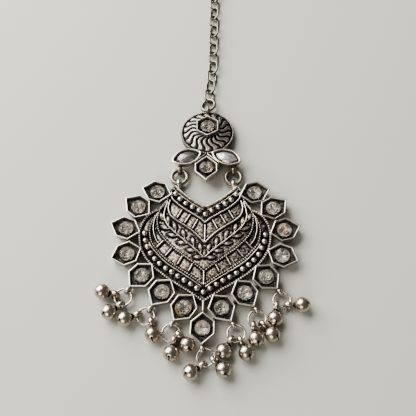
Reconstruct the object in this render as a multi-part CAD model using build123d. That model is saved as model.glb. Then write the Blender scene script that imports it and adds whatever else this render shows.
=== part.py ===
from build123d import *
import math
import os

# A maang tikka (forehead jewel) lying face up. Millimetres, +Z up, chain towards +Y.
# The pieces are laid out from the middle of the crescent, then moved so that the origin
# is under the middle of the whole jewel, on the surface that it lies on.

# ---------------------------------------------------------------- driving dimensions
plate_height = 2.6          # top of the hexagonal walls of the crescent plate
field_height = 1.6          # sunk ground between the ridges
ridge_height = 2.35         # top of the ridges
ridge_width = 0.5
rim_width = 0.8             # outer beaded rim of the crescent
bar_width = 0.5
web_width = 1.2             # solder webs between neighbouring settings
stem_width = 0.45
bead_diameter = 1.5
leaf_length = 2.35
leaf_width = 1.05
leaf_height = 2.25

cell_width = 5.4            # hexagonal setting, across its straight sides
cell_side = 2.9             # length of its straight sides
cell_tip = 2.45             # outer point, beyond the straight sides
cell_heel = 2.1             # inner point
cell_wall = 0.5             # thickness of the wall at its top
cell_tuck = 0.45            # how far the wall draws in at the back
cell_floor = 0.65
cell_draft = 0.25           # how far the recess narrows towards its floor

stone_diameter = 3.8
stone_crown = 0.85
stone_girdle = 0.12
stone_pavilion = 1.45
stone_gap = 0.06            # between a stone's point and the floor of its cup

disc_width = 14.0           # sun-ray disc, slightly oval
disc_length = 13.6
disc_rim_height = 1.3
disc_petals = 18
hub_height = 3.6            # top of the hexagonal setting on the disc
hub_width = 5.4
marquise_length = 7.7
marquise_width = 4.5
marquise_height = 2.2
marquise_wall = 0.5
casting_tilt = 5.0          # the top casting leans on its two lower loops

drop_loop_major = 0.8       # loops that carry the thin rings
drop_loop_minor = 0.34
drop_loop_reach = 0.9       # from a setting's point to the middle of its loop
drop_height = 1.3           # height of the thin rings above the surface
drop_ring_radius = 2.05
drop_ring_wire = 0.54
heavy_loop_major = 0.92
heavy_loop_minor = 0.34
heavy_ring_radius = 2.0
heavy_ring_wire = 0.8
heavy_ring_height = 1.28
top_loop_major = 0.86
top_ring_radius = 1.85
top_ring_wire = 0.72
top_ring_height = 1.0
top_ring_dip = 4.6          # slopes down from the casting to the chain
top_ring_lean = 18.0        # and leans against the first link

bell_radius = 1.85
bell_wall = 0.4
bell_slot = 0.35
bell_hole = 0.75
bell_eye_major = 0.92
bell_eye_minor = 0.31
bell_neck = 0.15
bell_neck_radius = 0.5
bell_collar = 0.85
bell_hole_angle = 41.0
bell_reach = bell_eye_major + bell_eye_minor + bell_neck + bell_radius

link_length = 4.7
link_width = 3.1
link_wire = 0.6
link_roll = 28.0            # each link leans this way, the next one the other way
link_slack = 0.14
ring_slack = 0.5            # the first link is looser on its ring
hook_slack = 0.9            # and the last one on the hook
link_count = 12
hook_wire = 0.8
hook_eye = 1.35             # middle of the wire
hook_eye_lean = 20.0
hook_shank = 9.0
hook_bend = 2.2
hook_return = 5.0

# Curves of the crescent's right half, from the outer end to the middle line.
notch_edge = [(8.0, 9.9), (6.2, 8.1), (4.1, 6.35), (2.05, 4.95), (0.0, 3.75)]
ridge_beads = [(8.8, 8.2), (8.6, 6.3), (7.25, 4.75), (5.4, 3.3), (3.2, 1.9), (1.1, 0.5), (0.0, -0.6)]
ridge_bars = [(8.95, 5.8), (9.4, 3.8), (9.0, 1.8), (7.5, 0.2), (5.2, -1.3), (2.5, -3.4), (0.0, -6.1)]
ridge_vine = [(9.8, 5.6), (11.4, 3.3), (12.05, 0.5), (11.7, -2.4), (10.5, -4.5), (8.3, -6.9),
              (5.1, -9.5), (2.4, -11.5), (0.0, -13.6)]
ridge_outer = [(12.4, 1.7), (13.3, -0.3), (13.8, -2.6), (13.25, -5.8), (11.6, -8.2), (8.8, -11.0),
               (4.6, -13.8), (1.8, -15.7), (0.0, -17.1)]
rim_curve = [(11.7, 2.9), (14.1, 1.4), (15.5, -0.7), (16.15, -3.2), (16.0, -5.9), (15.2, -8.5),
             (13.6, -11.0), (11.1, -13.4), (7.8, -15.9), (4.4, -18.0), (2.1, -19.5), (0.0, -21.0)]
horn_edge = [(8.0, 9.9), (9.1, 8.2), (9.6, 6.3), (10.6, 4.3), (11.7, 2.9)]
sliver_ridge = [(11.95, 2.2), (12.75, 0.2), (12.95, -2.3), (12.35, -4.8), (11.3, -6.5)]
vine_stem = [(9.6, 5.6), (10.45, 1.7), (9.7, -0.8), (8.2, -2.6), (5.4, -5.1), (3.6, -6.6),
             (1.8, -8.2), (0.0, -10.0)]
beads_top = [(7.75, 7.5), (6.5, 5.95), (5.05, 4.85), (3.5, 3.95), (1.8, 2.95), (0.0, 1.75)]
beads_outer = [(15.05, -3.7), (14.75, -5.6), (13.25, -9.05), (10.75, -11.75), (7.75, -13.95),
               (3.05, -16.9), (0.0, -18.9)]
beads_top_count = 6         # on each half, with one shared on the middle line
beads_outer_count = 13

# Short bars across the bands of the right half: both ends.
bars_inner = [((5.85, 3.0), (7.2, 0.5)), ((3.75, 1.8), (5.2, -0.8)), ((1.8, 0.4), (3.15, -2.4))]
bars_outer = [((10.1, -5.5), (11.9, -7.5)), ((8.0, -7.6), (9.7, -9.8)), ((5.3, -9.6), (6.6, -12.0)),
              ((2.75, -11.5), (3.8, -13.8))]

# Leaves of the right half: middle of the leaf and the way that it points, in degrees.
leaves = [(9.35, 0.2, 77), (7.6, -1.6, 75), (5.35, -3.5, 72), (2.9, -5.55, 80), (1.05, -7.2, 78),
          (11.1, 1.2, 75), (10.3, -1.85, 26), (8.3, -3.95, 14), (5.8, -6.0, 10), (3.4, -8.0, 6),
          (1.65, -9.8, 0)]

# Hexagonal settings of the right half: middle, and the way that the outer point faces.
cells = [(12.45, 7.92, 14.5), (17.1, 3.58, 35.0), (19.75, -2.43, 16.8), (19.04, -9.28, -21.2),
         (15.0, -14.83, -48.8), (9.9, -18.99, -56.5), (4.44, -22.71, -55.4)]
middle_cell_y = -27.67
first_drop_cell = 4         # cells from this one on carry a ring with two bells

disc_y = 26.35
hub_y = 26.8
drop_y = 14.1
marquise_x = 5.2
marquise_y = 17.6
marquise_turn = 20.5
tilt_pivot_y = disc_y + disc_length / 2
top_loop_y = disc_y + disc_length / 2 + 0.6
top_loop_z = 1.28
heavy_x = 7.05
horn_loop_y = 10.75
horn_loop_z = 1.3
casting_loop_y = 14.75
casting_loop_z = -0.25

# Each drop ring: the way it lies from its loop, then for both bells where the eye sits on the
# ring, the way the bell points, and how far its eye is turned about the bell's length.
drops = [
    dict(ring=-120, eye_a=167, bell_a=167, turn_a=28, eye_b=-105, bell_b=-143, turn_b=7),
    dict(ring=-117, eye_a=168, bell_a=-155, turn_a=-8, eye_b=-42, bell_b=-82, turn_b=12),
    dict(ring=-95, eye_a=-64, bell_a=-101, turn_a=6, eye_b=-14, bell_b=-51, turn_b=15),
    dict(ring=-63, eye_a=-110, bell_a=-147, turn_a=14, eye_b=-16, bell_b=-48, turn_b=27),
    dict(ring=-70, eye_a=-123, bell_a=-123, turn_a=8, eye_b=-62, bell_b=-64, turn_b=-10),
    dict(ring=-84, eye_a=-116, bell_a=-79, turn_a=-8, eye_b=-50, bell_b=-47, turn_b=-18),
    dict(ring=-75, eye_a=-133, bell_a=-96, turn_a=-12, eye_b=-37, bell_b=0, turn_b=-6),
]


# ---------------------------------------------------------------- plane figures
def turned(x, y, degrees):
    a = math.radians(degrees)
    return (x * math.cos(a) - y * math.sin(a), x * math.sin(a) + y * math.cos(a))


def heading(degrees):
    return turned(1.0, 0.0, degrees)


def mirrored(points):
    return [(-x, y) for x, y in points]


def smooth(points, steps=3):
    """A smooth line through the points, with a few short steps between each two."""
    out = []
    last = len(points) - 1
    for i in range(last):
        p0, p1 = points[max(i - 1, 0)], points[i]
        p2, p3 = points[i + 1], points[min(i + 2, last)]
        for k in range(steps):
            t = k / steps
            weights = (-0.5 * t + t * t - 0.5 * t ** 3, 1 - 2.5 * t * t + 1.5 * t ** 3,
                       0.5 * t + 2 * t * t - 1.5 * t ** 3, -0.5 * t * t + 0.5 * t ** 3)
            out.append(tuple(sum(w * p[c] for w, p in zip(weights, (p0, p1, p2, p3)))
                             for c in (0, 1)))
    return out + [points[-1]]


def across(points, distance):
    """The line moved sideways by a distance, to its left."""
    out = []
    for i, (x, y) in enumerate(points):
        ax, ay = points[max(i - 1, 0)]
        bx, by = points[min(i + 1, len(points) - 1)]
        dx, dy = bx - ax, by - ay
        length = math.hypot(dx, dy)
        out.append((x - dy / length * distance, y + dx / length * distance))
    return out


def spaced(points, count):
    """Places at equal distances along the line, both ends included."""
    lengths = [math.dist(a, b) for a, b in zip(points, points[1:])]
    total = sum(lengths)
    out = []
    for k in range(count):
        left = total * k / (count - 1)
        for a, b, length in zip(points, points[1:], lengths):
            if left <= length + 1e-9:
                break
            left -= length
        t = min(left / length, 1.0)
        out.append((a[0] + (b[0] - a[0]) * t, a[1] + (b[1] - a[1]) * t))
    return out


def cell_outline(grow=0.0):
    """The elongated hexagon of a setting, its outer point towards +X."""
    half_side, half_width = cell_side / 2, cell_width / 2
    tip, heel = half_side + cell_tip, -half_side - cell_heel
    slope_tip = math.hypot(cell_tip, half_width) / half_width
    slope_heel = math.hypot(cell_heel, half_width) / half_width
    edge = half_width + grow
    shift_tip = grow * (slope_tip - cell_tip / half_width)
    shift_heel = grow * (slope_heel - cell_heel / half_width)
    return [(tip + grow * slope_tip, 0.0), (half_side + shift_tip, edge),
            (-half_side - shift_heel, edge), (heel - grow * slope_heel, 0.0),
            (-half_side - shift_heel, -edge), (half_side + shift_tip, -edge)]


def hexagon(width):
    """A regular hexagon by its width across flats, one point towards +Y."""
    r = width / math.sqrt(3)
    return [(r * math.sin(math.radians(60 * k)), r * math.cos(math.radians(60 * k)))
            for k in range(6)]


def oval(length, width, n=12):
    """A pointed oval of two arcs, its points on the X axis."""
    half, rise = length / 2, width / 2
    radius = (half ** 2 + rise ** 2) / (2 * rise)
    sweep = math.asin(half / radius)
    arc = []
    for k in range(n + 1):
        a = sweep * (1 - 2 * k / n)
        arc.append((radius * math.sin(a), radius * math.cos(a) - (radius - rise)))
    return arc + [(x, -y) for x, y in arc[-2:0:-1]]


def ellipse_line(width, length, n):
    return [(width / 2 * math.cos(math.tau * k / n), length / 2 * math.sin(math.tau * k / n))
            for k in range(n)]


def placed(points, x, y, degrees):
    out = []
    for px, py in points:
        tx, ty = turned(px, py, degrees)
        out.append((x + tx, y + ty))
    return out


# ---------------------------------------------------------------- solids
def polygon_face(points, z):
    return Face(Wire.make_polygon([Vector(x, y, z) for x, y in points], close=True))


def prism(points, z0, z1):
    """A straight block of the outline, whichever way round its points run."""
    face = polygon_face(points, z0)
    return Solid.extrude(face, Vector(0, 0, z1 - z0))


def frustum(low, z0, high, z1):
    """A block whose outline changes evenly from one height to another."""
    sides = []
    n = len(low)
    for k in range(n):
        a, b = low[k], low[(k + 1) % n]
        c, d = high[(k + 1) % n], high[k]
        corners = [Vector(*a, z0), Vector(*b, z0), Vector(*c, z1), Vector(*d, z1)]
        for three in (corners[:3], [corners[0], corners[2], corners[3]]):
            sides.append(Face(Wire.make_polygon(three, close=True)))
    return Solid(Shell(sides + [polygon_face(low, z0), polygon_face(high, z1)]))


def band(points, width, z0, z1):
    """A low wall of one width along a line."""
    return prism(across(points, width / 2) + across(points, -width / 2)[::-1], z0, z1)


def both_halves(points):
    """A right-half line that ends on the middle line, joined to its mirror image."""
    return points + mirrored(points)[-2::-1]


def faceted(points, faces):
    return Solid(Shell([Face(Wire.make_polygon([Vector(*points[i]) for i in f], close=True))
                        for f in faces]))


def round_stone():
    """A round cut stone, table up, with its girdle's lower edge at height 0."""
    r_girdle, r_table, r_middle = stone_diameter / 2, stone_diameter * 0.29, stone_diameter * 0.41
    z_girdle, z_table = stone_girdle, stone_girdle + stone_crown
    drop = (r_middle * math.cos(math.pi / 8) - r_table) / (r_girdle - r_table)
    z_middle = z_table - drop * stone_crown
    points = []

    def ring(radius, z, n, offset):
        first = len(points)
        for k in range(n):
            a = math.tau * (k + offset) / n
            points.append((radius * math.cos(a), radius * math.sin(a), z))
        return list(range(first, first + n))

    table = ring(r_table, z_table, 8, 0.0)
    middle = ring(r_middle, z_middle, 8, 0.5)
    upper = ring(r_girdle, z_girdle, 16, 0.0)
    lower = ring(r_girdle, 0.0, 16, 0.0)
    points.append((0.0, 0.0, -stone_pavilion))
    culet = len(points) - 1
    faces = [table]
    for k in range(8):
        nxt = (k + 1) % 8
        a, b, c = upper[2 * k], upper[2 * k + 1], upper[(2 * k + 2) % 16]
        faces.append([table[k], table[nxt], middle[k]])
        faces.append([table[k], middle[k], a])
        faces.append([table[k], a, middle[k - 1]])
        faces.append([middle[k], b, a])
        faces.append([middle[k], c, b])
    for k in range(16):
        nxt = (k + 1) % 16
        faces.append([upper[k], upper[nxt], lower[nxt], lower[k]])
        faces.append([lower[k], lower[nxt], culet])
    return faceted(points, faces)


def marquise_stone():
    """A flat-topped pointed oval stone with a bevelled edge, its seat at height 0."""
    length = marquise_length - 2 * marquise_wall - 0.5
    width = marquise_width - 2 * marquise_wall - 0.2
    edge = oval(length, width)
    table = oval(length * 0.78, width * 0.66)
    seat = oval(length * 0.86, width * 0.8)
    return frustum(seat, 0.0, edge, 0.55) + frustum(edge, 0.55, table, 0.95)


def upright_loop(major, minor, x, y, z, degrees):
    """A round loop standing on edge, its hole crosswise to the way it faces."""
    return Pos(x, y, z) * Rot(0, 0, degrees) * Rot(90, 0, 0) * Torus(major, minor)


def hexagonal_cup(x, y, degrees):
    """The solid wall block of a hexagonal setting, before it is hollowed."""
    low = placed(cell_outline(-cell_tuck), x, y, degrees)
    high = placed(cell_outline(cell_wall / 2), x, y, degrees)
    return frustum(low, 0.0, high, plate_height)


def hexagonal_recess(x, y, degrees):
    low = placed(cell_outline(-cell_wall / 2 - cell_draft), x, y, degrees)
    high = placed(cell_outline(-cell_wall / 2 + 0.03), x, y, degrees)
    return frustum(low, cell_floor, high, plate_height + 0.3)


def leaf(x, y, degrees):
    """A pointed leaf with a raised middle rib."""
    outline = placed(oval(leaf_length, leaf_width, 4), x, y, degrees)
    rib = placed(oval(leaf_length * 0.8, leaf_width * 0.3, 4), x, y, degrees)
    return frustum(outline, field_height - 0.2, rib, leaf_height)


# ---------------------------------------------------------------- crescent plate
def all_cells():
    """Every hexagonal setting, from the left horn round to the right one."""
    left = [(-x, y, 180 - a) for x, y, a in cells]
    return left + [(0.0, middle_cell_y, -90.0)] + list(reversed(cells))


def loop_place(cell):
    x, y, a = cell
    hx, hy = heading(a)
    reach = cell_side / 2 + cell_tip + drop_loop_reach
    return x + reach * hx, y + reach * hy


def main_plate():
    rim = smooth(rim_curve)
    horn = smooth(horn_edge)
    notch = smooth(notch_edge)
    half = rim[::-1] + horn[-2:0:-1] + notch
    base = prism(half + mirrored(half)[-2:0:-1], 0.0, field_height)
    low = field_height - 0.3
    added = [band(both_halves(rim), rim_width, 0.0, ridge_height + 0.1),
             band(both_halves(notch), ridge_width, low, ridge_height)]
    for curve in (ridge_beads, ridge_bars, ridge_vine, ridge_outer):
        added.append(band(both_halves(smooth(curve)), ridge_width, low, ridge_height))
    added.append(band(both_halves(smooth(vine_stem)), stem_width, low, leaf_height - 0.1))
    for side in (1, -1):
        for curve, width in ((horn_edge, ridge_width + 0.1), (sliver_ridge, ridge_width * 0.7)):
            line = [(side * x, y) for x, y in smooth(curve)]
            added.append(band(line, width, low, ridge_height))
        for ends in bars_inner + bars_outer:
            added.append(band([(side * x, y) for x, y in ends], bar_width, low, ridge_height - 0.1))
        for x, y, a in leaves:
            added.append(leaf(side * x, y, a if side > 0 else 180 - a))
        added.append(band([(side * 7.3, 8.2), (side * heavy_x, 9.8)], 0.9, 0.0, ridge_height - 0.2))
        added.append(upright_loop(heavy_loop_major, heavy_loop_minor,
                                  side * heavy_x, horn_loop_y, horn_loop_z, 90))
    added.append(band([(0.0, -1.0), (0.0, -5.9)], bar_width, low, ridge_height - 0.1))
    added.append(band([(0.0, -13.4), (0.0, -17.2)], bar_width, low, ridge_height - 0.1))
    added.append(band([(0.0, -20.8), (0.0, middle_cell_y + cell_side / 2 + cell_heel)], 0.9,
                      0.0, ridge_height))
    bead_z = field_height + bead_diameter * 0.2
    for line, count in ((beads_top, beads_top_count), (beads_outer, beads_outer_count)):
        right = spaced(smooth(line), count)
        for x, y in right + mirrored(right[:-1]):
            added.append(Pos(x, y, bead_z) * Sphere(bead_diameter / 2))
    drop_cells = all_cells()[first_drop_cell:-first_drop_cell]
    places = all_cells()
    for x, y, a in places:
        added.append(hexagonal_cup(x, y, a))
    for (ax, ay, _), (bx, by, _) in zip(places, places[1:]):
        added.append(band([(ax, ay), (bx, by)], web_width, 0.0, field_height))
    for cell in drop_cells:
        added.append(upright_loop(drop_loop_major, drop_loop_minor, *loop_place(cell), drop_height,
                                  cell[2]))
    plate = base.fuse(*added)
    for x, y, a in all_cells():
        plate = plate.cut(hexagonal_recess(x, y, a))
    return plate


# ---------------------------------------------------------------- top casting
def tilted(shape):
    """The top casting and its stones lean back from the disc's far edge."""
    return Pos(0, tilt_pivot_y, 0) * Rot(-casting_tilt, 0, 0) * Pos(0, -tilt_pivot_y, 0) * shape


def sun_disc():
    """The domed disc: a rim, a ring of petals parted by grooves, and a six-sided setting."""
    n = disc_petals * 2
    outer = ellipse_line(disc_width, disc_length, 36)
    ledge = ellipse_line(disc_width - 1.3, disc_length - 1.3, 36)
    shape = frustum(outer, 0.0, ellipse_line(disc_width - 0.1, disc_length - 0.1, 36),
                    disc_rim_height)
    shape = shape.cut(prism(ledge, disc_rim_height - 0.5, disc_rim_height + 1))
    dome_low = ellipse_line(disc_width - 1.5, disc_length - 1.5, n)
    dome_high = ellipse_line(4.6, 4.5, n)
    shape = shape.fuse(frustum(dome_low, 0.5, dome_high, hub_height - 0.9))
    grooves = []
    for k in range(disc_petals):
        a = 360 * (k + 0.5) / disc_petals
        lean = math.degrees(math.atan2(hub_height - 1.9, (disc_width - 6.0) / 2))
        groove = Pos((disc_width - 1.5) / 4 + 1.1, 0, hub_height / 2 + 0.1) * Rot(0, lean, 0) * Box(
            disc_width / 2 - 3.0, 0.28, 0.5)
        grooves.append(Rot(0, 0, a) * groove)
    shape = shape.cut(*grooves)
    shape = Pos(0, disc_y, 0) * shape
    hub = placed(hexagon(hub_width + 0.5), 0, hub_y, 0)
    hub_low = placed(hexagon(hub_width + 0.9), 0, hub_y, 0)
    return shape.fuse(frustum(hub_low, 0.3, hub, hub_height))


def marquise_cup(side):
    """The wall block of a pointed oval setting."""
    turn = -side * marquise_turn
    low = placed(oval(marquise_length + 0.3, marquise_width + 0.2), side * marquise_x, marquise_y, turn)
    high = placed(oval(marquise_length, marquise_width), side * marquise_x, marquise_y, turn)
    return frustum(low, 0.0, high, marquise_height)


def marquise_recess(side):
    turn = -side * marquise_turn
    room = oval(marquise_length - 2 * marquise_wall - 0.3, marquise_width - 2 * marquise_wall)
    room = placed(room, side * marquise_x, marquise_y, turn)
    return prism(room, marquise_height - 1.0, marquise_height + 1)


def chevron():
    """The raised angle over the drop setting."""
    top = drop_y + cell_side / 2 + cell_heel + 1.35
    shoulder = cell_width / 2 + 0.75
    line = [(-shoulder, drop_y + 1.55), (0.0, top), (shoulder, drop_y + 1.55)]
    web = line + [(cell_width / 2, drop_y + 1.2), (-cell_width / 2, drop_y + 1.2)]
    wall = [(x * 0.86, y - 0.6) for x, y in line]
    return [prism(line + wall[::-1], 0.0, plate_height - 0.2), prism(web, 0.0, field_height)]


def top_casting():
    drop = placed(cell_outline(-cell_tuck), 0, drop_y, -90)
    drop_high = placed(cell_outline(cell_wall / 2), 0, drop_y, -90)
    added = [frustum(drop, 0.0, drop_high, plate_height)] + chevron()
    added += [marquise_cup(1), marquise_cup(-1)]
    added.append(prism([(-2.6, 21.6), (2.6, 21.6), (2.2, 18.0), (-2.2, 18.0)], 0.0, 1.2))
    added.append(upright_loop(top_loop_major, heavy_loop_minor, 0, top_loop_y, top_loop_z, 90))
    for side in (1, -1):
        added.append(upright_loop(heavy_loop_major, heavy_loop_minor, side * heavy_x,
                                  casting_loop_y, casting_loop_z, 90))
    shape = sun_disc().fuse(*added)
    hub_floor = placed(hexagon(hub_width - 0.9), 0, hub_y, 0)
    hub_room = placed(hexagon(hub_width - 0.45), 0, hub_y, 0)
    cuts = [hexagonal_recess(0, drop_y, -90), marquise_recess(1), marquise_recess(-1),
            frustum(hub_floor, hub_height - 1.95, hub_room, hub_height + 0.3)]
    for cut in cuts:
        shape = shape.cut(cut)
    return tilted(shape)


# ---------------------------------------------------------------- rings, bells, chain, hook
def bell_body():
    """A hollow slotted bell along +X, the middle of its eye at the origin."""
    ball_x = bell_reach
    neck_end = ball_x - bell_radius - 0.12
    collar_x = ball_x - math.sqrt(bell_radius ** 2 - bell_collar ** 2)
    seam_half = 0.1
    seam_foot = math.sqrt(bell_radius ** 2 - seam_half ** 2)
    seam_top = bell_radius + 0.07
    arcs = []
    for x0, y0, x1, y1 in ((collar_x, bell_collar, ball_x - seam_half, seam_foot),
                           (ball_x + seam_half, seam_foot, ball_x + bell_radius, 0.0)):
        middle = (math.atan2(y0, x0 - ball_x) + math.atan2(y1, x1 - ball_x)) / 2
        arcs.append(ThreePointArc((x0, y0), (ball_x + bell_radius * math.cos(middle),
                                             bell_radius * math.sin(middle)), (x1, y1)))
    neck = Polyline((bell_eye_major - 0.1, 0), (bell_eye_major - 0.1, bell_neck_radius),
                    (neck_end, bell_neck_radius), (neck_end, bell_collar), (collar_x, bell_collar))
    seam = Polyline((ball_x - seam_half, seam_foot), (ball_x - seam_half, seam_top),
                    (ball_x + seam_half, seam_top), (ball_x + seam_half, seam_foot))
    axis_line = Line((ball_x + bell_radius, 0), (bell_eye_major - 0.1, 0))
    profile = Face(Wire(list(neck.edges()) + [arcs[0]] + list(seam.edges()) + [arcs[1], axis_line]))
    body = revolve(profile, Axis.X, 360)
    body = body - Pos(ball_x, 0, 0) * Sphere(bell_radius - bell_wall)
    body = body + Rot(90, 0, 0) * Torus(bell_eye_major, bell_eye_minor)
    body = body - Pos(ball_x + bell_radius, 0, 0) * Box(bell_radius * 1.1, bell_slot, bell_radius * 1.3)
    for end in (1, -1):
        rim = Rot(0, -end * bell_hole_angle, 0) * Pos(bell_radius, 0, 0)
        body = body - Pos(ball_x, 0, 0) * rim * Rot(0, 90, 0) * Cylinder(bell_hole / 2, 1.4)
    return body


def drop_group(number, cell, drop, bell):
    """A thin ring on a setting's loop, and the two bells on that ring."""
    lx, ly = loop_place(cell)
    hx, hy = heading(drop["ring"])
    cx, cy = lx + drop_ring_radius * hx, ly + drop_ring_radius * hy
    nodes = {f"drop_ring_{number}": Pos(cx, cy, drop_height)
             * Torus(drop_ring_radius, drop_ring_wire / 2)}
    lift = math.degrees(math.asin((bell_radius + 0.1 - drop_height) / bell_reach))
    for letter in "ab":
        ex, ey = heading(drop["eye_" + letter])
        place = Pos(cx + drop_ring_radius * ex, cy + drop_ring_radius * ey, drop_height)
        nodes[f"bell_{number}{letter}"] = (place * Rot(0, 0, drop["bell_" + letter])
                                           * Rot(0, -lift, 0) * Rot(drop["turn_" + letter], 0, 0)
                                           * bell)
    return nodes


def chain_link():
    """An oval link along Y, of round wire."""
    radius = (link_width - link_wire) / 2
    half = (link_length - link_wire) / 2 - radius
    ends = []
    for side in (1, -1):
        half_ring = Torus(radius, link_wire / 2) & Pos(0, side * 5, 0) * Box(10, 10, 10)
        ends.append(Pos(0, side * half, 0) * half_ring)
    bars = [Pos(side * radius, 0, 0) * Rot(90, 0, 0) * Cylinder(link_wire / 2, 2 * half)
            for side in (1, -1)]
    return ends[0] + bars[0] + bars[1] + ends[1]


def chain_axis_height():
    lean = math.radians(link_roll)
    return (link_width - link_wire) / 2 * math.sin(lean) + link_wire / 2 + 0.02


def first_link_y():
    ring_far = top_ring_place()[1] + top_ring_radius
    return ring_far - top_ring_wire / 2 - ring_slack / 2 - link_wire + link_length / 2


def link_pitch():
    return link_length - 2 * link_wire - link_slack


def chain():
    links = []
    for k in range(link_count):
        roll = link_roll if k % 2 == 0 else -link_roll
        y = first_link_y() + k * link_pitch()
        links.append(Pos(chain_x(k), y, chain_axis_height()) * Rot(0, roll, 0) * chain_link())
    return Compound(links)


def chain_x(k):
    """The chain bears slightly to the right of the ring, then runs straight."""
    return 0.2 + 0.9 * min(k, 3) / 3


def top_ring_place():
    return 0.0, top_loop_y + top_ring_radius + 0.1, top_ring_height


def top_ring():
    wire = Torus(top_ring_radius, top_ring_wire / 2)
    return Pos(*top_ring_place()) * Rot(-top_ring_dip, -top_ring_lean, 0) * wire


def hook():
    """A plain hair hook: an eye on the last link, a shank and a round bend."""
    last = first_link_y() + (link_count - 1) * link_pitch()
    inner_end = last + link_length / 2 - link_wire
    eye_y = inner_end - hook_slack / 2 - hook_wire / 2 + hook_eye
    eye = Rot(0, hook_eye_lean, 0) * Torus(hook_eye, hook_wire / 2)
    start = hook_eye + hook_wire * 0.2
    shank = Pos(0, start + hook_shank / 2, 0) * Rot(90, 0, 0) * Cylinder(hook_wire / 2, hook_shank)
    bend = Torus(hook_bend, hook_wire / 2) & Pos(0, 5, 0) * Box(10, 10, 10)
    bend = Pos(hook_bend, start + hook_shank, 0) * bend
    back = Pos(2 * hook_bend, start + hook_shank - hook_return / 2, 0) * Rot(90, 0, 0) * Cylinder(
        hook_wire / 2, hook_return)
    tip = Pos(2 * hook_bend, start + hook_shank - hook_return, 0) * Sphere(hook_wire / 2)
    shape = eye + shank + bend + back + tip
    drop = chain_axis_height() - hook_wire / 2 - 0.05
    slope = math.degrees(math.asin(drop / (start + hook_shank + hook_bend)))
    x = chain_x(link_count - 1)
    return Pos(x, eye_y, chain_axis_height()) * Rot(-slope, 0, 0) * shape


# ---------------------------------------------------------------- the whole jewel
def jewel():
    nodes = {"main_plate": main_plate(), "top_casting": top_casting()}
    girdle_z = cell_floor + stone_gap + stone_pavilion
    for k, (x, y, a) in enumerate(all_cells(), 1):
        nodes[f"rim_stone_{k:02d}"] = Pos(x, y, girdle_z) * Rot(0, 0, a) * round_stone()
    nodes["stone_drop"] = tilted(Pos(0, drop_y, girdle_z) * round_stone())
    hub_z = hub_height - 1.95 + stone_gap + stone_pavilion
    nodes["stone_disc"] = tilted(Pos(0, hub_y, hub_z) * round_stone())
    for name, side in (("marquise_left", -1), ("marquise_right", 1)):
        seat = Pos(side * marquise_x, marquise_y, marquise_height - 0.95)
        nodes[name] = tilted(seat * Rot(0, 0, -side * marquise_turn) * marquise_stone())
    for name, side in (("jump_ring_left", -1), ("jump_ring_right", 1)):
        middle = (horn_loop_y + casting_loop_y) / 2 + 0.05
        nodes[name] = Pos(side * heavy_x, middle, heavy_ring_height) * Torus(
            heavy_ring_radius, heavy_ring_wire / 2)
    nodes["top_ring"] = top_ring()
    nodes["chain"] = chain()
    nodes["hook"] = hook()
    bell = bell_body()
    drop_cells = all_cells()[first_drop_cell:-first_drop_cell]
    for number, (cell, drop) in enumerate(zip(drop_cells, drops), 1):
        nodes.update(drop_group(number, cell, drop, bell))
    return nodes


os.makedirs("parts", exist_ok=True)
pieces = jewel()
boxes = [shape.bounding_box() for shape in pieces.values()]
middle_x = (min(b.min.X for b in boxes) + max(b.max.X for b in boxes)) / 2
middle_y = (min(b.min.Y for b in boxes) + max(b.max.Y for b in boxes)) / 2
floor_z = min(b.min.Z for b in boxes)
print("moved by", round(-middle_x, 3), round(-middle_y, 3), round(-floor_z, 3))
for name, shape in pieces.items():
    export_step(Pos(-middle_x, -middle_y, -floor_z) * shape, f"parts/{name}.step")
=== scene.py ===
import math

import bmesh
import bpy
import numpy as np
from mathutils import Matrix, Vector
from mathutils.kdtree import KDTree


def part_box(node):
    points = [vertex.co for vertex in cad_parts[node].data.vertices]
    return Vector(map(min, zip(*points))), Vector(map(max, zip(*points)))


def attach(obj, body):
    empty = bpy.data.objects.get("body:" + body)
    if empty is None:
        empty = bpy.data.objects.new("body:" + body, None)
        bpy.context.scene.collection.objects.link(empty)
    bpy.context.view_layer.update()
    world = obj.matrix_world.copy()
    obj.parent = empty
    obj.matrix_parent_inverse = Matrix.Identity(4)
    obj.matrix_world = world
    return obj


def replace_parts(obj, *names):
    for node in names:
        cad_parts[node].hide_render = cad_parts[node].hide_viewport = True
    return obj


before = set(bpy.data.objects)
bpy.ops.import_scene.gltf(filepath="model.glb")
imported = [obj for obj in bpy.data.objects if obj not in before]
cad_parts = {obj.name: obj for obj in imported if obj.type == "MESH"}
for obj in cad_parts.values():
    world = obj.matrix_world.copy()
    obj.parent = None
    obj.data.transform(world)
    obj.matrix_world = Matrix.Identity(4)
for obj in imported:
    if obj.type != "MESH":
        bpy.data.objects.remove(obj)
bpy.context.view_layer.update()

bl_info = {
    "name": "Forehead jewel",
    "version": (1, 0, 0),
    "blender": (4, 5, 0),
    "location": "3D View > Sidebar > Jewel",
    "description": "Dresses the frame of a maang tikka in oxidised silver and cut stones",
    "category": "Object",
}

MM = 0.001
BODY = "root"

# ------------------------------------------------------------- places taken from the frame
# All tables below are in millimetres from the middle of the crescent plate, on its back.
# Mirrored ones give the right half, +X.
MIDDLE_STONE_Y = -27.67     # of the stone below the crescent's point
plate_low, plate_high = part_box("main_plate")
stone_low, stone_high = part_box("rim_stone_08")
PLATE_PLACE = Vector(((plate_low.x + plate_high.x) / 2,
                      (stone_low.y + stone_high.y) / 2 - MIDDLE_STONE_Y * MM, plate_low.z))


def from_frame(node):
    """The middle of a node of the frame, in millimetres from the middle of the crescent."""
    low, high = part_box(node)
    return ((low + high) / 2 - PLATE_PLACE) / MM


# ------------------------------------------------------------- the crescent's own lines
PLATE_HEIGHT = (plate_high.z - plate_low.z) / MM
FIELD = 1.6                 # height of the sunk ground between the ridges
RIDGE = 2.35                # height of the ridges
ROOT = 0.2                  # how deep a raised line starts below the ground

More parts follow.
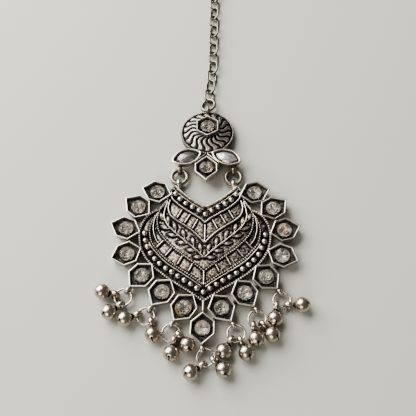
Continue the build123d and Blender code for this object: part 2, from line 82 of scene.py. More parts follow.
NOTCH_EDGE = [(8.0, 9.9), (6.2, 8.1), (4.1, 6.35), (2.05, 4.95), (0.0, 3.75)]
RIDGE_BEADS = [(8.8, 8.2), (8.6, 6.3), (7.25, 4.75), (5.4, 3.3), (3.2, 1.9), (1.1, 0.5), (0.0, -0.6)]
RIDGE_BARS = [(8.95, 5.8), (9.4, 3.8), (9.0, 1.8), (7.5, 0.2), (5.2, -1.3), (2.5, -3.4), (0.0, -6.1)]
RIDGE_VINE = [(9.8, 5.6), (11.4, 3.3), (12.05, 0.5), (11.7, -2.4), (10.5, -4.5), (8.3, -6.9),
              (5.1, -9.5), (2.4, -11.5), (0.0, -13.6)]
RIDGE_OUTER = [(12.4, 1.7), (13.3, -0.3), (13.8, -2.6), (13.25, -5.8), (11.6, -8.2), (8.8, -11.0),
               (4.6, -13.8), (1.8, -15.7), (0.0, -17.1)]
RIM = [(11.7, 2.9), (14.1, 1.4), (15.5, -0.7), (16.15, -3.2), (16.0, -5.9), (15.2, -8.5),
       (13.6, -11.0), (11.1, -13.4), (7.8, -15.9), (4.4, -18.0), (2.1, -19.5), (0.0, -21.0)]
HORN_EDGE = [(8.0, 9.9), (9.1, 8.2), (9.6, 6.3), (10.6, 4.3), (11.7, 2.9)]
SLIVER = [(11.95, 2.2), (12.75, 0.2), (12.95, -2.3), (12.35, -4.8), (11.3, -6.5)]
STEM = [(9.6, 5.6), (10.45, 1.7), (9.7, -0.8), (8.2, -2.6), (5.4, -5.1), (3.6, -6.6),
        (1.8, -8.2), (0.0, -10.0)]
BEADS_TOP = [(7.75, 7.5), (6.5, 5.95), (5.05, 4.85), (3.5, 3.95), (1.8, 2.95), (0.0, 1.75)]
BEADS_OUTER = [(15.05, -3.7), (14.75, -5.6), (13.25, -9.05), (10.75, -11.75), (7.75, -13.95),
               (3.05, -16.9), (0.0, -18.9)]
BEADS_TOP_COUNT = 6
BEADS_OUTER_COUNT = 13
BARS_INNER = [((5.85, 3.0), (7.2, 0.5)), ((3.75, 1.8), (5.2, -0.8)), ((1.8, 0.4), (3.15, -2.4))]
BARS_OUTER = [((10.1, -5.5), (11.9, -7.5)), ((8.0, -7.6), (9.7, -9.8)), ((5.3, -9.6), (6.6, -12.0)),
              ((2.75, -11.5), (3.8, -13.8))]
BARS_MIDDLE = [((0.0, -1.0), (0.0, -5.9)), ((0.0, -13.4), (0.0, -17.2))]
# Each leaf: its middle and the way it points, degrees.
LEAVES = [(9.35, 0.2, 77), (7.6, -1.6, 75), (5.35, -3.5, 72), (2.9, -5.55, 80), (1.05, -7.2, 78),
          (11.1, 1.2, 75), (10.3, -1.85, 26), (8.3, -3.95, 14), (5.8, -6.0, 10), (3.4, -8.0, 6),
          (1.65, -9.8, 0)]
LEAF_LENGTH = 2.4
LEAF_WIDTH = 1.02

# Hexagonal settings, from the left horn round to the right one: where each outer point faces, degrees.
CELL_TURNS = [165.5, 145.0, 163.2, 201.2, 228.8, 236.5, 235.4, -90.0, -55.4, -56.5, -48.8, -21.2,
              16.8, 35.0, 14.5]
CELL_WIDTH = 5.4
CELL_SIDE = 2.9             # length of the two straight sides
CELL_TIP = 2.45             # reach of the outer point past the sides
CELL_HEEL = 2.1             # reach of the inner point past the sides
DROP_BACK = 0.85            # the drop setting's shorter sides
DROP_HEEL = 2.4             # and its longer inner point
STONE_SEAT = 2.0            # radius of the hole that takes a round stone
BARE_ENDS = 4               # settings at each end that carry no ring
ASKEW_STONE = 7             # this stone sits askew, with glue showing beside it
GLUE_HEIGHT = 1.75

# The top casting, before it leans back on its loops.
DISC_WIDTH = 14.3
DISC_LENGTH = 14.1
DISC_Y = 26.2
DISC_PETALS = 18
DISC_HOLLOW = 2.2           # radius of the petals' inner ends, under the hub
DISC_RIM = 0.55             # width of the grained rim
HUB_HEIGHT = 3.6
HUB_WIDTH = 5.4
HUB_Y = 26.8
DROP_Y = 14.1
MARQUISE_X = 5.2
MARQUISE_Y = 17.6
MARQUISE_TURN = 20.5        # degrees
MARQUISE_LENGTH = 7.7
MARQUISE_WIDTH = 4.5
MARQUISE_HEIGHT = 2.2
CASTING_TILT = 5.0          # degrees
TILT_PIVOT_Y = 33.15
HEAVY_X = 7.05              # of the loops that carry the two heavy rings
HORN_LOOP = (10.75, 1.3)    # each loop's middle: Y and Z
CASTING_LOOP = (14.75, -0.25)
TOP_LOOP = (33.75, 1.28)
# Loops of wire: the radius to the wire's middle, half its thickness, how much broader it is across.
BIG_LOOP = dict(radius=0.92, wire=0.38, broad=1.45)
TOP_LOOP_SHAPE = dict(radius=0.86, wire=0.34, broad=1.0)
DROP_LOOP = dict(radius=0.8, wire=0.34, broad=1.3)

# The rings and where the thin ones hang.
DROP_LOOP_REACH = 0.9       # of a drop loop's middle past its setting's outer point
DROP_HEIGHT = 1.3           # of the drop loops and the thin rings over the back
DROP_WIRE = 0.54
HEAVY_WIRE = 0.8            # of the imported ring, which gives the radius
HEAVY_DRAWN = 1.06          # and as it looks
TOP_RING_RADIUS = 1.85
TOP_RING_WIRE = 0.82
TOP_RING_LEAN = (-4.6, -18.0)   # degrees about X, then about Y

# Bells on the thin rings, in degrees: where both eyes sit, the ways the bells point, their turns.
DROPS = [
    dict(eye_a=167, bell_a=167, turn_a=28, eye_b=-105, bell_b=-143, turn_b=7),
    dict(eye_a=168, bell_a=-155, turn_a=-8, eye_b=-42, bell_b=-82, turn_b=12),
    dict(eye_a=-64, bell_a=-101, turn_a=6, eye_b=-14, bell_b=-51, turn_b=15),
    dict(eye_a=-110, bell_a=-147, turn_a=14, eye_b=-16, bell_b=-48, turn_b=27),
    dict(eye_a=-123, bell_a=-123, turn_a=8, eye_b=-62, bell_b=-64, turn_b=-10),
    dict(eye_a=-116, bell_a=-79, turn_a=-8, eye_b=-50, bell_b=-47, turn_b=-18),
    dict(eye_a=-133, bell_a=-96, turn_a=-12, eye_b=-37, bell_b=0, turn_b=-6),
]
BELL_RADIUS = 1.85
BELL_EYE_MAJOR = 0.92
BELL_EYE_MINOR = 0.31
BELL_NECK = 0.15
BELL_REACH = BELL_EYE_MAJOR + BELL_EYE_MINOR + BELL_NECK + BELL_RADIUS
BELL_EYE = dict(radius=BELL_EYE_MAJOR, wire=0.4, broad=1.45)
BELL_SLOT = 0.26            # width of the slot
BELL_HOLE = 0.27            # radius of the holes at the slot's ends

LINK_LENGTH = 4.7
LINK_WIDTH = 3.1
LINK_WIRE = 0.6
LINK_ROLL = 28.0            # degrees, to one side and the other in turn
LINK_SLACK = 0.14
LINK_COUNT = 12
CHAIN_START_X = 0.2
CHAIN_X = 1.1               # reached after three links
HOOK_WIRE = 0.8
HOOK_EYE = 1.35
HOOK_SHANK = 9.0
HOOK_BEND = 2.2
HOOK_RETURN = 5.0

# The view, apart from what the stage's settings give.
VIEW_AZIMUTH = 3.562        # degrees
VIEW_ROLL = -2.619          # degrees
VIEW_AIM = (0.643, 3.211)   # millimetres from the middle of the crescent
VIEW_LENS = 56.76
FLOOR_HALF = 1.6            # metres


# ------------------------------------------------------------- settings a user would change
class PlateSettings(bpy.types.PropertyGroup):
    """Sizes of the crescent's relief, and the two colours of its metal."""
    ridge_width: bpy.props.FloatProperty(
        name="Ridge width", description="Width of the raised lines", subtype="DISTANCE", unit="LENGTH",
        default=0.46 * MM, min=0.2 * MM, max=0.8 * MM)
    bead_diameter: bpy.props.FloatProperty(
        name="Bead diameter", description="Size of the beads in their rows", subtype="DISTANCE",
        unit="LENGTH", default=1.5 * MM, min=1.0 * MM, max=1.6 * MM)
    milgrain_pitch: bpy.props.FloatProperty(
        name="Milgrain pitch", description="Distance between the fine grains", subtype="DISTANCE",
        unit="LENGTH", default=0.62 * MM, min=0.3 * MM, max=1.0 * MM)
    bright: bpy.props.FloatVectorProperty(
        name="Polished silver", description="Colour of the raised and rubbed metal",
        subtype="COLOR", size=4, min=0.0, max=1.0, default=(0.60, 0.56, 0.50, 1.0))
    dark: bpy.props.FloatVectorProperty(
        name="Tarnish", description="Colour of the oxide in the recesses",
        subtype="COLOR", size=4, min=0.0, max=1.0, default=(0.009, 0.009, 0.012, 1.0))


class StageSettings(bpy.types.PropertyGroup):
    """The floor's colour and the place that the jewel is seen from."""
    floor: bpy.props.FloatVectorProperty(
        name="Floor", description="Colour of the plain floor",
        subtype="COLOR", size=4, min=0.0, max=1.0, default=(0.53, 0.528, 0.48, 1.0))
    elevation: bpy.props.FloatProperty(
        name="Camera elevation", description="Height of the camera above the horizon",
        subtype="ANGLE", unit="ROTATION", default=math.radians(63.67))
    distance: bpy.props.FloatProperty(
        name="Camera distance", description="From the camera to the middle of the crescent",
        subtype="DISTANCE", unit="LENGTH", default=0.16566)


# ------------------------------------------------------------- lines
def turned(x, y, degrees):
    """A point turned about the origin."""
    a = math.radians(degrees)
    return x * math.cos(a) - y * math.sin(a), x * math.sin(a) + y * math.cos(a)


def smooth(points, steps=8):
    """A smooth line through the points."""
    out = []
    last = len(points) - 1
    for i in range(last):
        p0, p1 = points[max(i - 1, 0)], points[i]
        p2, p3 = points[i + 1], points[min(i + 2, last)]
        for k in range(steps):
            t = k / steps
            weights = (-0.5 * t + t * t - 0.5 * t ** 3, 1 - 2.5 * t * t + 1.5 * t ** 3,
                       0.5 * t + 2 * t * t - 1.5 * t ** 3, -0.5 * t * t + 0.5 * t ** 3)
            out.append([sum(w * p[c] for w, p in zip(weights, (p0, p1, p2, p3))) for c in (0, 1)])
    return np.array(out + [list(points[-1])])


def evenly(line, step=None, count=None, closed=False):
    """The same line with points at equal distances."""
    line = np.asarray(line, float)
    if closed:
        line = np.vstack([line, line[:1]])
    run = np.concatenate([[0.0], np.cumsum(np.linalg.norm(np.diff(line, axis=0), axis=1))])
    if count is None:
        count = max(int(round(run[-1] / step)) + 1, 3)
    at = np.linspace(0.0, run[-1], count)
    out = np.stack([np.interp(at, run, line[:, c]) for c in range(line.shape[1])], axis=1)
    return out[:-1] if closed else out


def sideways(line, closed=False):
    """The unit direction to the left of the line at each of its points."""
    if closed:
        tangent = np.roll(line, -1, axis=0) - np.roll(line, 1, axis=0)
    else:
        tangent = np.gradient(line, axis=0)
    tangent = tangent / np.linalg.norm(tangent, axis=1, keepdims=True)
    return np.stack([-tangent[:, 1], tangent[:, 0]], axis=1)


def across(line, distance):
    """The line set off to its left."""
    line = np.asarray(line, float)
    return line + sideways(line) * distance


def both_sides(line):
    """The line of the right half and the same line on the left."""
    line = np.asarray(line, float)
    return line, line * (-1, 1)


def cell_outline(grow=0.0, back=CELL_SIDE / 2, heel=CELL_HEEL):
    """The elongated hexagon of a setting, its outer point towards +X."""
    front, half_width = CELL_SIDE / 2, CELL_WIDTH / 2
    slope_tip = math.hypot(CELL_TIP, half_width) / half_width
    slope_heel = math.hypot(heel, half_width) / half_width
    edge = half_width + grow
    tip_corner = front + grow * (slope_tip - CELL_TIP / half_width)
    heel_corner = -back - grow * (slope_heel - heel / half_width)
    return [(front + CELL_TIP + grow * slope_tip, 0.0), (tip_corner, edge), (heel_corner, edge),
            (-back - heel - grow * slope_heel, 0.0), (heel_corner, -edge), (tip_corner, -edge)]


def drop_outline(grow=0.0):
    """The shorter hexagon of the drop setting."""
    return cell_outline(grow, back=DROP_BACK, heel=DROP_HEEL)


def hexagon(grow=0.0):
    """The regular hexagon of the hub, a point towards +Y."""
    r = (HUB_WIDTH + 2 * grow) / math.sqrt(3)
    return [(r * math.sin(math.radians(60 * k)), r * math.cos(math.radians(60 * k)))
            for k in range(6)]


def oval(grow=0.0, n=16):
    """The pointed oval of a marquise setting, its points on the X axis."""
    half, rise = MARQUISE_LENGTH / 2 + grow * 1.7, MARQUISE_WIDTH / 2 + grow
    radius = (half ** 2 + rise ** 2) / (2 * rise)
    sweep = math.asin(half / radius)
    arc = []
    for k in range(n + 1):
        a = sweep * (1 - 2 * k / n)
        arc.append((radius * math.sin(a), radius * math.cos(a) - (radius - rise)))
    return arc + [(x, -y) for x, y in arc[-2:0:-1]]


def eased(corners, radius, steps=3):
    """A closed outline with its corners rounded, always with the same number of points."""
    out = []
    for k, corner in enumerate(np.array(corners)):
        for other, shares in ((corners[k - 1], np.linspace(1, 0, steps + 1)[:-1]),
                              (corners[(k + 1) % len(corners)], np.linspace(0, 1, steps + 1))):
            way = np.array(other) - corner
            way = way / np.linalg.norm(way)
            out += [corner + way * radius * share ** 1.5 for share in shares]
    return np.array(out)


# ------------------------------------------------------------- forms
class Form:
    """Points, faces and tarnish of one piece, in millimetres from the middle of the crescent."""

    def __init__(self):
        """Starts empty."""
        self.points, self.faces, self.tarnish, self.count = [], [], [], 0

    def net(self, points, tarnish, around=False, along=False):
        """Rows of points joined with faces. around closes each row, along joins last to first."""
        points = np.asarray(points, float)
        rows, cols = points.shape[:2]
        index = self.count + np.arange(rows * cols).reshape(rows, cols)
        self.points.append(points.reshape(-1, 3))
        self.tarnish.append(np.broadcast_to(tarnish, (rows, cols)).reshape(-1).astype(float))
        self.count += rows * cols
        if around:
            index = np.concatenate([index, index[:, :1]], axis=1)
        if along:
            index = np.concatenate([index, index[:1]], axis=0)
        quads = np.stack([index[:-1, :-1], index[:-1, 1:], index[1:, 1:], index[1:, :-1]], axis=-1)
        self.faces += quads.reshape(-1, 4).tolist()
        return index

    def shell(self, points, tarnish, along=False):
        """A net closed around each row, with a face over both ends unless it also closes along."""
        index = self.net(points, tarnish, around=True, along=along)
        if not along:
            self.cap(index[0])
            self.cap(index[-1])

    def cap(self, ring):
        """One face over a closed row of points."""
        self.faces.append([int(i) for i in ring[:-1]])

    def fan(self, ring, middle, tarnish):
        """Faces from a closed row of points to one point."""
        self.points.append(np.array([middle], float))
        self.tarnish.append(np.array([float(tarnish)]))
        ring = [int(i) for i in ring]
        for a, b in zip(ring, ring[1:]):
            self.faces.append([a, b, self.count])
        self.count += 1

    def moved(self, change):
        """The same form with every point passed through a function of an N by 3 array."""
        self.points = [change(np.concatenate(self.points))]
        self.tarnish = [np.concatenate(self.tarnish)]
        return self

    def mesh(self, name, material, place):
        """A mesh of this form, moved to a place, with its tarnish kept at every point."""
        mesh = bpy.data.meshes.new(name)
        points = np.concatenate(self.points) * MM + np.array(place)
        mesh.from_pydata(points.tolist(), [], self.faces)
        layer = mesh.attributes.new("tarnish", "FLOAT", "POINT")
        layer.data.foreach_set("value", np.clip(np.concatenate(self.tarnish), 0, 1))
        mesh.materials.append(material)
        return mesh

    def piece(self, name, material, slot, crease=38.0, down_to=None):
        """The finished object, on its place. An open sheet is closed down to a height."""
        mesh = self.mesh(name, material, PLATE_PLACE)
        shape = bmesh.new()
        shape.from_mesh(mesh)
        if down_to is not None:
            border = [edge for edge in shape.edges if edge.is_boundary]
            made = bmesh.ops.extrude_edge_only(shape, edges=border)["geom"]
            for item in made:
                if isinstance(item, bmesh.types.BMVert):
                    item.co.z = down_to * MM + PLATE_PLACE.z
            bmesh.ops.holes_fill(shape, edges=[edge for edge in shape.edges if edge.is_boundary])
        bmesh.ops.recalc_face_normals(shape, faces=shape.faces)
        shape.to_mesh(mesh)
        shape.free()
        mesh.shade_smooth()
        mesh.set_sharp_from_angle(angle=math.radians(crease))
        return placed(name, mesh)


def placed(name, mesh):
    """A mesh put into the scene as a piece of the jewel."""
    piece = bpy.data.objects.new(name, mesh)
    bpy.context.scene.collection.objects.link(piece)
    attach(piece, BODY)
    return piece


# Across a ridge: offset as a share of its width, height as a share of its rise, tarnish.
ROUND = [(-0.5, 0.0, 1.0), (-0.5, 0.4, 1.0), (-0.46, 0.66, 0.6), (-0.34, 0.88, 0.12), (-0.16, 0.98, 0.0),
         (0.0, 1.0, 0.0), (0.16, 0.98, 0.0), (0.34, 0.88, 0.12), (0.46, 0.66, 0.6), (0.5, 0.4, 1.0),
         (0.5, 0.0, 1.0)]
# SHADED darkens a whole ridge, crest too, with painted shade, for webs that lie low between parts.
SHADED = [(x, z, max(0.8 * dark, 0.5)) for x, z, dark in ROUND]
BLACK = [(x, z, 1.0) for x, z, _ in ROUND]
WORN = [(x, z, dark * 0.4) for x, z, dark in ROUND]


def sweep(form, line, width, foot, top, pitch=0.0, depth=0.4, step=0.12, closed=False, section=ROUND):
    """A ridge along a line. With a pitch, its crest is parted into fine grains."""
    line = evenly(line, step=step, closed=closed)
    run = np.concatenate([[0.0], np.cumsum(np.linalg.norm(np.diff(line, axis=0), axis=1))])[:, None]
    section = np.array(section)
    offset = np.broadcast_to(section[:, 0] * width, (len(line), len(section)))
    rise = np.broadcast_to(section[:, 1], offset.shape)
    dark = np.broadcast_to(section[:, 2], offset.shape)
    if pitch:
        grain = (0.5 + 0.5 * np.cos(math.tau * run / pitch)) ** 0.55
        rise = rise * (1 - depth * (1 - grain))
        offset = offset * (1 - 0.25 * (1 - grain))
        dark = np.maximum(dark, np.clip(2.4 * (1 - grain) - 0.8, 0, 1))
    if not closed:
        end = np.minimum(run, run[-1] - run)
        rise = rise * np.clip(0.25 + end / (width * 0.5), 0, 1)
    left = sideways(line, closed)
    points = np.empty(offset.shape + (3,))
    points[..., :2] = line[:, None] + left[:, None] * offset[..., None]
    points[..., 2] = foot + (top - foot) * rise
    form.shell(points, dark, along=closed)


def ball(form, middle, radius, squash, rings=9, around=18):
    """A bead, flattened a little, dark round its foot with oxide and with painted shade on its lower side.
    """
    lat = np.linspace(-math.pi / 2, math.pi / 2, rings + 2)[1:-1]
    lon = np.arange(around) * math.tau / around
    unit = np.stack([np.cos(lat)[:, None] * np.cos(lon), np.cos(lat)[:, None] * np.sin(lon),
                     np.sin(lat)[:, None] * np.ones(around)], axis=-1)
    points = np.array(middle) + unit * radius * (1, 1, squash)
    # Oxide at the foot and painted shade: the lower side is darkened.
    dark = np.clip((0.3 - unit[..., 2]) * 2.2, 0, 1)
    index = form.net(points, dark, around=True)
    form.fan(index[0], (middle[0], middle[1], middle[2] - radius * squash), 1.0)
    form.fan(index[-1], (middle[0], middle[1], middle[2] + radius * squash), 0.0)


def tube(form, path, radius, closed=False, sides=14, dark=0.0, broad=1.0):
    """Round wire along a path in space, darkened below with painted shade, with rounded ends when it is
    open.

    broad widens the wire across the plane of its path.
    """
    path = np.asarray(path, float)
    if closed:
        tangent = np.roll(path, -1, axis=0) - np.roll(path, 1, axis=0)
    else:
        tangent = np.gradient(path, axis=0)
    tangent = tangent / np.linalg.norm(tangent, axis=1, keepdims=True)
    centred = path - path.mean(axis=0)
    flat = np.linalg.svd(centred)[2][2]
    side = np.cross(tangent, flat)
    side = side / np.linalg.norm(side, axis=1, keepdims=True)
    other = np.cross(side, tangent)
    a = np.arange(sides) * math.tau / sides
    around = side[:, None] * np.cos(a)[:, None] + other[:, None] * np.sin(a)[:, None] * broad
    rows = path[:, None] + around * radius
    if not closed:
        first, last = [], []
        for t in (0.35, 0.75, 0.95):
            shrunk = radius * math.sqrt(1 - t * t)
            first.insert(0, path[0] - tangent[0] * radius * t + around[0] * shrunk)
            last.append(path[-1] + tangent[-1] * radius * t + around[-1] * shrunk)
        rows = np.concatenate([np.array(first), rows, np.array(last)])
    # Painted shade: the lower side of the wire is darkened.
    underside_shade = np.clip(0.35 - (rows[..., 2] - rows.mean(axis=1)[:, None, 2]) / radius, 0, 1)
    form.shell(rows, dark + 0.75 * underside_shade, along=closed)


def circle(middle, radius, axis, n=56):
    """Points round a circle."""
    axis = Vector(axis).normalized()
    one = axis.orthogonal().normalized()
    two = axis.cross(one)
    one, two = np.array(one), np.array(two)
    angles = np.arange(n) * math.tau / n
    return np.array([np.array(middle) + radius * (math.cos(a) * one + math.sin(a) * two) for a in angles])


def loop(form, middle, axis, shape, dark=0.0, n=36):
    """A closed loop of wire, of one of the loops' shapes."""
    tube(form, circle(middle, shape["radius"], axis, n=n), shape["wire"], closed=True, dark=dark,
         broad=shape["broad"])


# The wall of a setting from its outer foot, over the rim, to the recess round the stone:
# growth of the outline, height as a share of the wall, tarnish, easing of the corners.
WALL = [(-0.3, 0.0, 0.5, 0.22), (-0.24, 0.05, 0.05, 0.22), (-0.1, 0.3, 0.42, 0.24), (0.1, 0.7, 0.45, 0.24),
        (0.18, 0.87, 0.4, 0.22), (0.21, 0.94, 0.08, 0.2), (0.19, 0.975, 0.0, 0.2), (0.1, 1.0, 0.0, 0.18),
        (-0.06, 1.0, 0.0, 0.16), (-0.15, 0.975, 0.1, 0.14), (-0.2, 0.93, 0.5, 0.12),
        (-0.27, 0.8, 0.66, 0.1), (-0.36, 0.66, 0.75, 0.1)]
WALL_OUTSIDE = 5            # rows of it that are on the outside


def setting(form, outline, place, height, well=0.0, wobble=0.0, seed=0, sides=1.0):
    """A cup with thin walls and a dark recess. With a well, a round hole takes the stone.

    sides scales the tarnish on the outside of the walls.
    """
    x, y, turn = place
    rows, dark = [], []
    shift = np.random.default_rng(seed).normal(0, wobble, (6, 2))
    for step, (grow, share, tarnish, ease) in enumerate(WALL):
        corners = np.array(outline(grow))
        if len(corners) == 6:
            corners = eased(corners + shift, ease)
        flat = np.array([turned(px, py, turn) for px, py in corners]) + (x, y)
        rows.append(np.column_stack([flat, np.full(len(flat), height * share)]))
        dark.append(tarnish * (sides if step < WALL_OUTSIDE else 1.0))
    if well:
        way = rows[-1][:, :2] - (x, y)
        around = way / np.linalg.norm(way, axis=1, keepdims=True)
        floor = rows[-1][0, 2]
        for r, drop, tarnish in ((STONE_SEAT + 0.12, 0.05, 0.73), (STONE_SEAT, 0.12, 0.95),
                                 (STONE_SEAT, well, 1.0)):
            rows.append(np.column_stack([around * r + (x, y), np.full(len(around), floor - drop)]))
            dark.append(tarnish)
    form.shell(np.array(rows), np.array(dark)[:, None])


def lean(points):
    """The top casting and its stones lean back from the disc's far edge."""
    a = math.radians(CASTING_TILT)
    y, z = points[:, 1] - TILT_PIVOT_Y, points[:, 2]
    return np.column_stack([points[:, 0], TILT_PIVOT_Y + y * math.cos(a) + z * math.sin(a),
                            -y * math.sin(a) + z * math.cos(a)])


def cell_places():
    """Every setting of the plate: the middle of its stone and the way its outer point faces."""
    out = []
    for k, turn in enumerate(CELL_TURNS, 1):
        middle = from_frame(f"rim_stone_{k:02d}")
        out.append((middle.x, middle.y, turn))
    return out


# ------------------------------------------------------------- materials
class Effect:
    """A shared shader node group in the making, with its sockets and the nodes inside."""

    def __init__(self, name, inputs, outputs):
        """Makes the group with its named inputs and outputs."""
        self.tree = bpy.data.node_groups.new(name, "ShaderNodeTree")
        for title, kind, default in inputs:
            socket = self.tree.interface.new_socket(title, in_out="INPUT", socket_type="NodeSocket" + kind)
            socket.default_value = default
        for title, kind in outputs:
            self.tree.interface.new_socket(title, in_out="OUTPUT", socket_type="NodeSocket" + kind)
        self.given = self.node("NodeGroupInput").outputs
        self.result = self.node("NodeGroupOutput").inputs
        self.place = self.node("ShaderNodeTexCoord").outputs["Object"]

    def node(self, kind):
        """A new node inside the group."""
        return self.tree.nodes.new(kind)

    def join(self, value, socket):
        """Feeds a socket from another one, or gives it a constant."""
        if isinstance(value, bpy.types.NodeSocket):
            self.tree.links.new(value, socket)
        else:
            socket.default_value = value

    def noise(self, scale, detail=3.0):
        """A cloudy value over the object."""
        node = self.node("ShaderNodeTexNoise")
        node.inputs["Detail"].default_value = detail
        self.join(scale, node.inputs["Scale"])
        self.join(self.place, node.inputs["Vector"])
        return node.outputs["Fac"]

    def maths(self, kind, a, b, clamp=False):
        """Two values put together."""
        node = self.node("ShaderNodeMath")
        node.operation = kind
        node.use_clamp = clamp
        self.join(a, node.inputs[0])
        self.join(b, node.inputs[1])
        return node.outputs[0]

    def spread(self, value, low, high, to_low=0.0, to_high=1.0):
        """The value carried from one range to another."""
        node = self.node("ShaderNodeMapRange")
        for title, item in (("Value", value), ("From Min", low), ("From Max", high), ("To Min", to_low),
                            ("To Max", to_high)):
            self.join(item, node.inputs[title])
        return node.outputs["Result"]

    def mixed(self, factor, one, two, kind="MIX"):
        """Two colours mixed by a factor."""
        node = self.node("ShaderNodeMix")
        node.data_type = "RGBA"
        node.blend_type = kind
        for slot, item in ((0, factor), (6, one), (7, two)):
            self.join(item, node.inputs[slot])
        return node.outputs[2]


def tarnished_silver():
    """Silver with oxide in its recesses: rubbed bright where the tarnish is thin."""
    found = bpy.data.node_groups.get("tarnished silver")
    if found:
        return found
    e = Effect("tarnished silver",
               [("Tarnish", "Float", 0.0), ("Bright", "Color", (0.7, 0.68, 0.65, 1)),
                ("Dark", "Color", (0.01, 0.01, 0.012, 1)), ("Grain", "Float", 2500.0),
                ("Patches", "Float", 420.0), ("Patchiness", "Float", 0.3), ("Polish", "Float", 0.25)],
               [("Color", "Color"), ("Roughness", "Float"), ("Metallic", "Float"), ("Height", "Float")])
    fine = e.noise(e.given["Grain"])
    patch = e.noise(e.given["Patches"], 4.0)
    rubbed = e.maths("MULTIPLY", e.maths("SUBTRACT", patch, 0.5), e.given["Patchiness"])
    gritty = e.maths("MULTIPLY", e.maths("SUBTRACT", fine, 0.5), 0.5)
    depth = e.spread(e.maths("ADD", e.maths("ADD", e.given["Tarnish"], rubbed), gritty), 0.12, 0.8)
    warm = e.spread(e.noise(95.0, 2.0), 0.38, 0.62)
    bright = e.mixed(warm, e.given["Bright"], (0.86, 0.77, 0.71, 1.0), "MULTIPLY")
    bright = e.mixed(e.maths("MULTIPLY", warm, 0.55), e.given["Bright"], bright)
    e.join(e.mixed(depth, bright, e.given["Dark"]), e.result["Color"])
    rough = e.maths("ADD", e.given["Polish"], e.maths("MULTIPLY", fine, 0.12))
    e.join(e.maths("ADD", rough, e.maths("MULTIPLY", depth, 0.3), True), e.result["Roughness"])
    e.join(e.spread(depth, 0.0, 1.0, 1.0, 0.0), e.result["Metallic"])
    e.join(e.maths("ADD", fine, e.maths("MULTIPLY", patch, 0.6)), e.result["Height"])
    return e.tree


def cut_mirror():
    """Foil or mirror seen through cut glass: light and dark patches painted in as reflections of the
    facets, with a few warm flecks.
    """
    found = bpy.data.node_groups.get("cut mirror")
    if found:
        return found
    e = Effect("cut mirror",
               [("Low", "Color", (0.2, 0.2, 0.2, 1)), ("High", "Color", (0.9, 0.9, 0.9, 1)),
                ("Fleck", "Color", (0.8, 0.5, 0.4, 1)), ("Scale", "Float", 1000.0),
                ("Stretch", "Vector", (1.0, 1.0, 1.0)), ("Gloss", "Float", 0.1)],
               [("Color", "Color"), ("Roughness", "Float")])
    drawn = e.node("ShaderNodeVectorMath")
    drawn.operation = "MULTIPLY"
    e.join(e.place, drawn.inputs[0])
    e.join(e.given["Stretch"], drawn.inputs[1])
    cells = e.node("ShaderNodeTexVoronoi")
    e.join(drawn.outputs["Vector"], cells.inputs["Vector"])
    e.join(e.given["Scale"], cells.inputs["Scale"])
    part = e.node("ShaderNodeSeparateColor")
    e.join(cells.outputs["Color"], part.inputs["Color"])
    # Painted reflections: each cell gets a light or dark tone, like a facet catching the light or not.
    facet_reflections = e.mixed(e.spread(part.outputs["Red"], 0.1, 0.75), e.given["Low"], e.given["High"])
    rare = e.spread(part.outputs["Green"], 0.94, 0.96)
    e.join(e.mixed(rare, facet_reflections, e.given["Fleck"]), e.result["Color"])
    e.join(e.maths("ADD", e.given["Gloss"], e.maths("MULTIPLY", part.outputs["Blue"], 0.15)),
           e.result["Roughness"])
    return e.tree


def clouded():
    """A clear or waxy substance whose tint and gloss drift a little."""
    found = bpy.data.node_groups.get("clouded")
    if found:
        return found
    e = Effect("clouded",
               [("Thin", "Color", (0.9, 0.9, 0.9, 1)), ("Thick", "Color", (0.9, 0.9, 0.9, 1)),
                ("Scale", "Float", 1000.0), ("Gloss", "Float", 0.0), ("Haze", "Float", 0.06)],
               [("Color", "Color"), ("Roughness", "Float")])
    cloud = e.noise(e.given["Scale"], 2.0)
    e.join(e.mixed(cloud, e.given["Thin"], e.given["Thick"]), e.result["Color"])
    e.join(e.maths("ADD", e.given["Gloss"], e.maths("MULTIPLY", cloud, e.given["Haze"])),
           e.result["Roughness"])
    return e.tree


def substance(name, effect, values, plain):
    """A material that takes its colour and gloss from a shared effect, set to its own values."""
    material = bpy.data.materials.new(name)
    material.use_nodes = True
    nodes, links = material.node_tree.nodes, material.node_tree.links
    shader = nodes["Principled BSDF"]
    surface = nodes.new("ShaderNodeGroup")
    surface.node_tree = effect
    for title, value in values.items():
        surface.inputs[title].default_value = value
    for title, value in plain.items():
        shader.inputs[title].default_value = value
    links.new(surface.outputs["Color"], shader.inputs["Base Color"])
    links.new(surface.outputs["Roughness"], shader.inputs["Roughness"])
    return material, nodes, links, surface, shader


def silver(name, grain, patches, patchiness, polish, bump, bright=None):
    """One finish of the tarnished silver. Grain and patches are counted per metre."""
    look = bpy.context.scene.jewel_plate
    values = {"Bright": bright or look.bright, "Dark": look.dark, "Grain": grain, "Patches": patches,
              "Patchiness": patchiness, "Polish": polish}
    material, nodes, links, surface, shader = substance(name, tarnished_silver(), values,
                                                        {"Specular IOR Level": 0.2})
    layer = nodes.new("ShaderNodeAttribute")
    layer.attribute_name = "tarnish"
    links.new(layer.outputs["Fac"], surface.inputs["Tarnish"])
    links.new(surface.outputs["Metallic"], shader.inputs["Metallic"])
    height = nodes.new("ShaderNodeBump")
    height.inputs["Distance"].default_value = bump
    links.new(surface.outputs["Height"], height.inputs["Height"])
    links.new(height.outputs["Normal"], shader.inputs["Normal"])
    return material


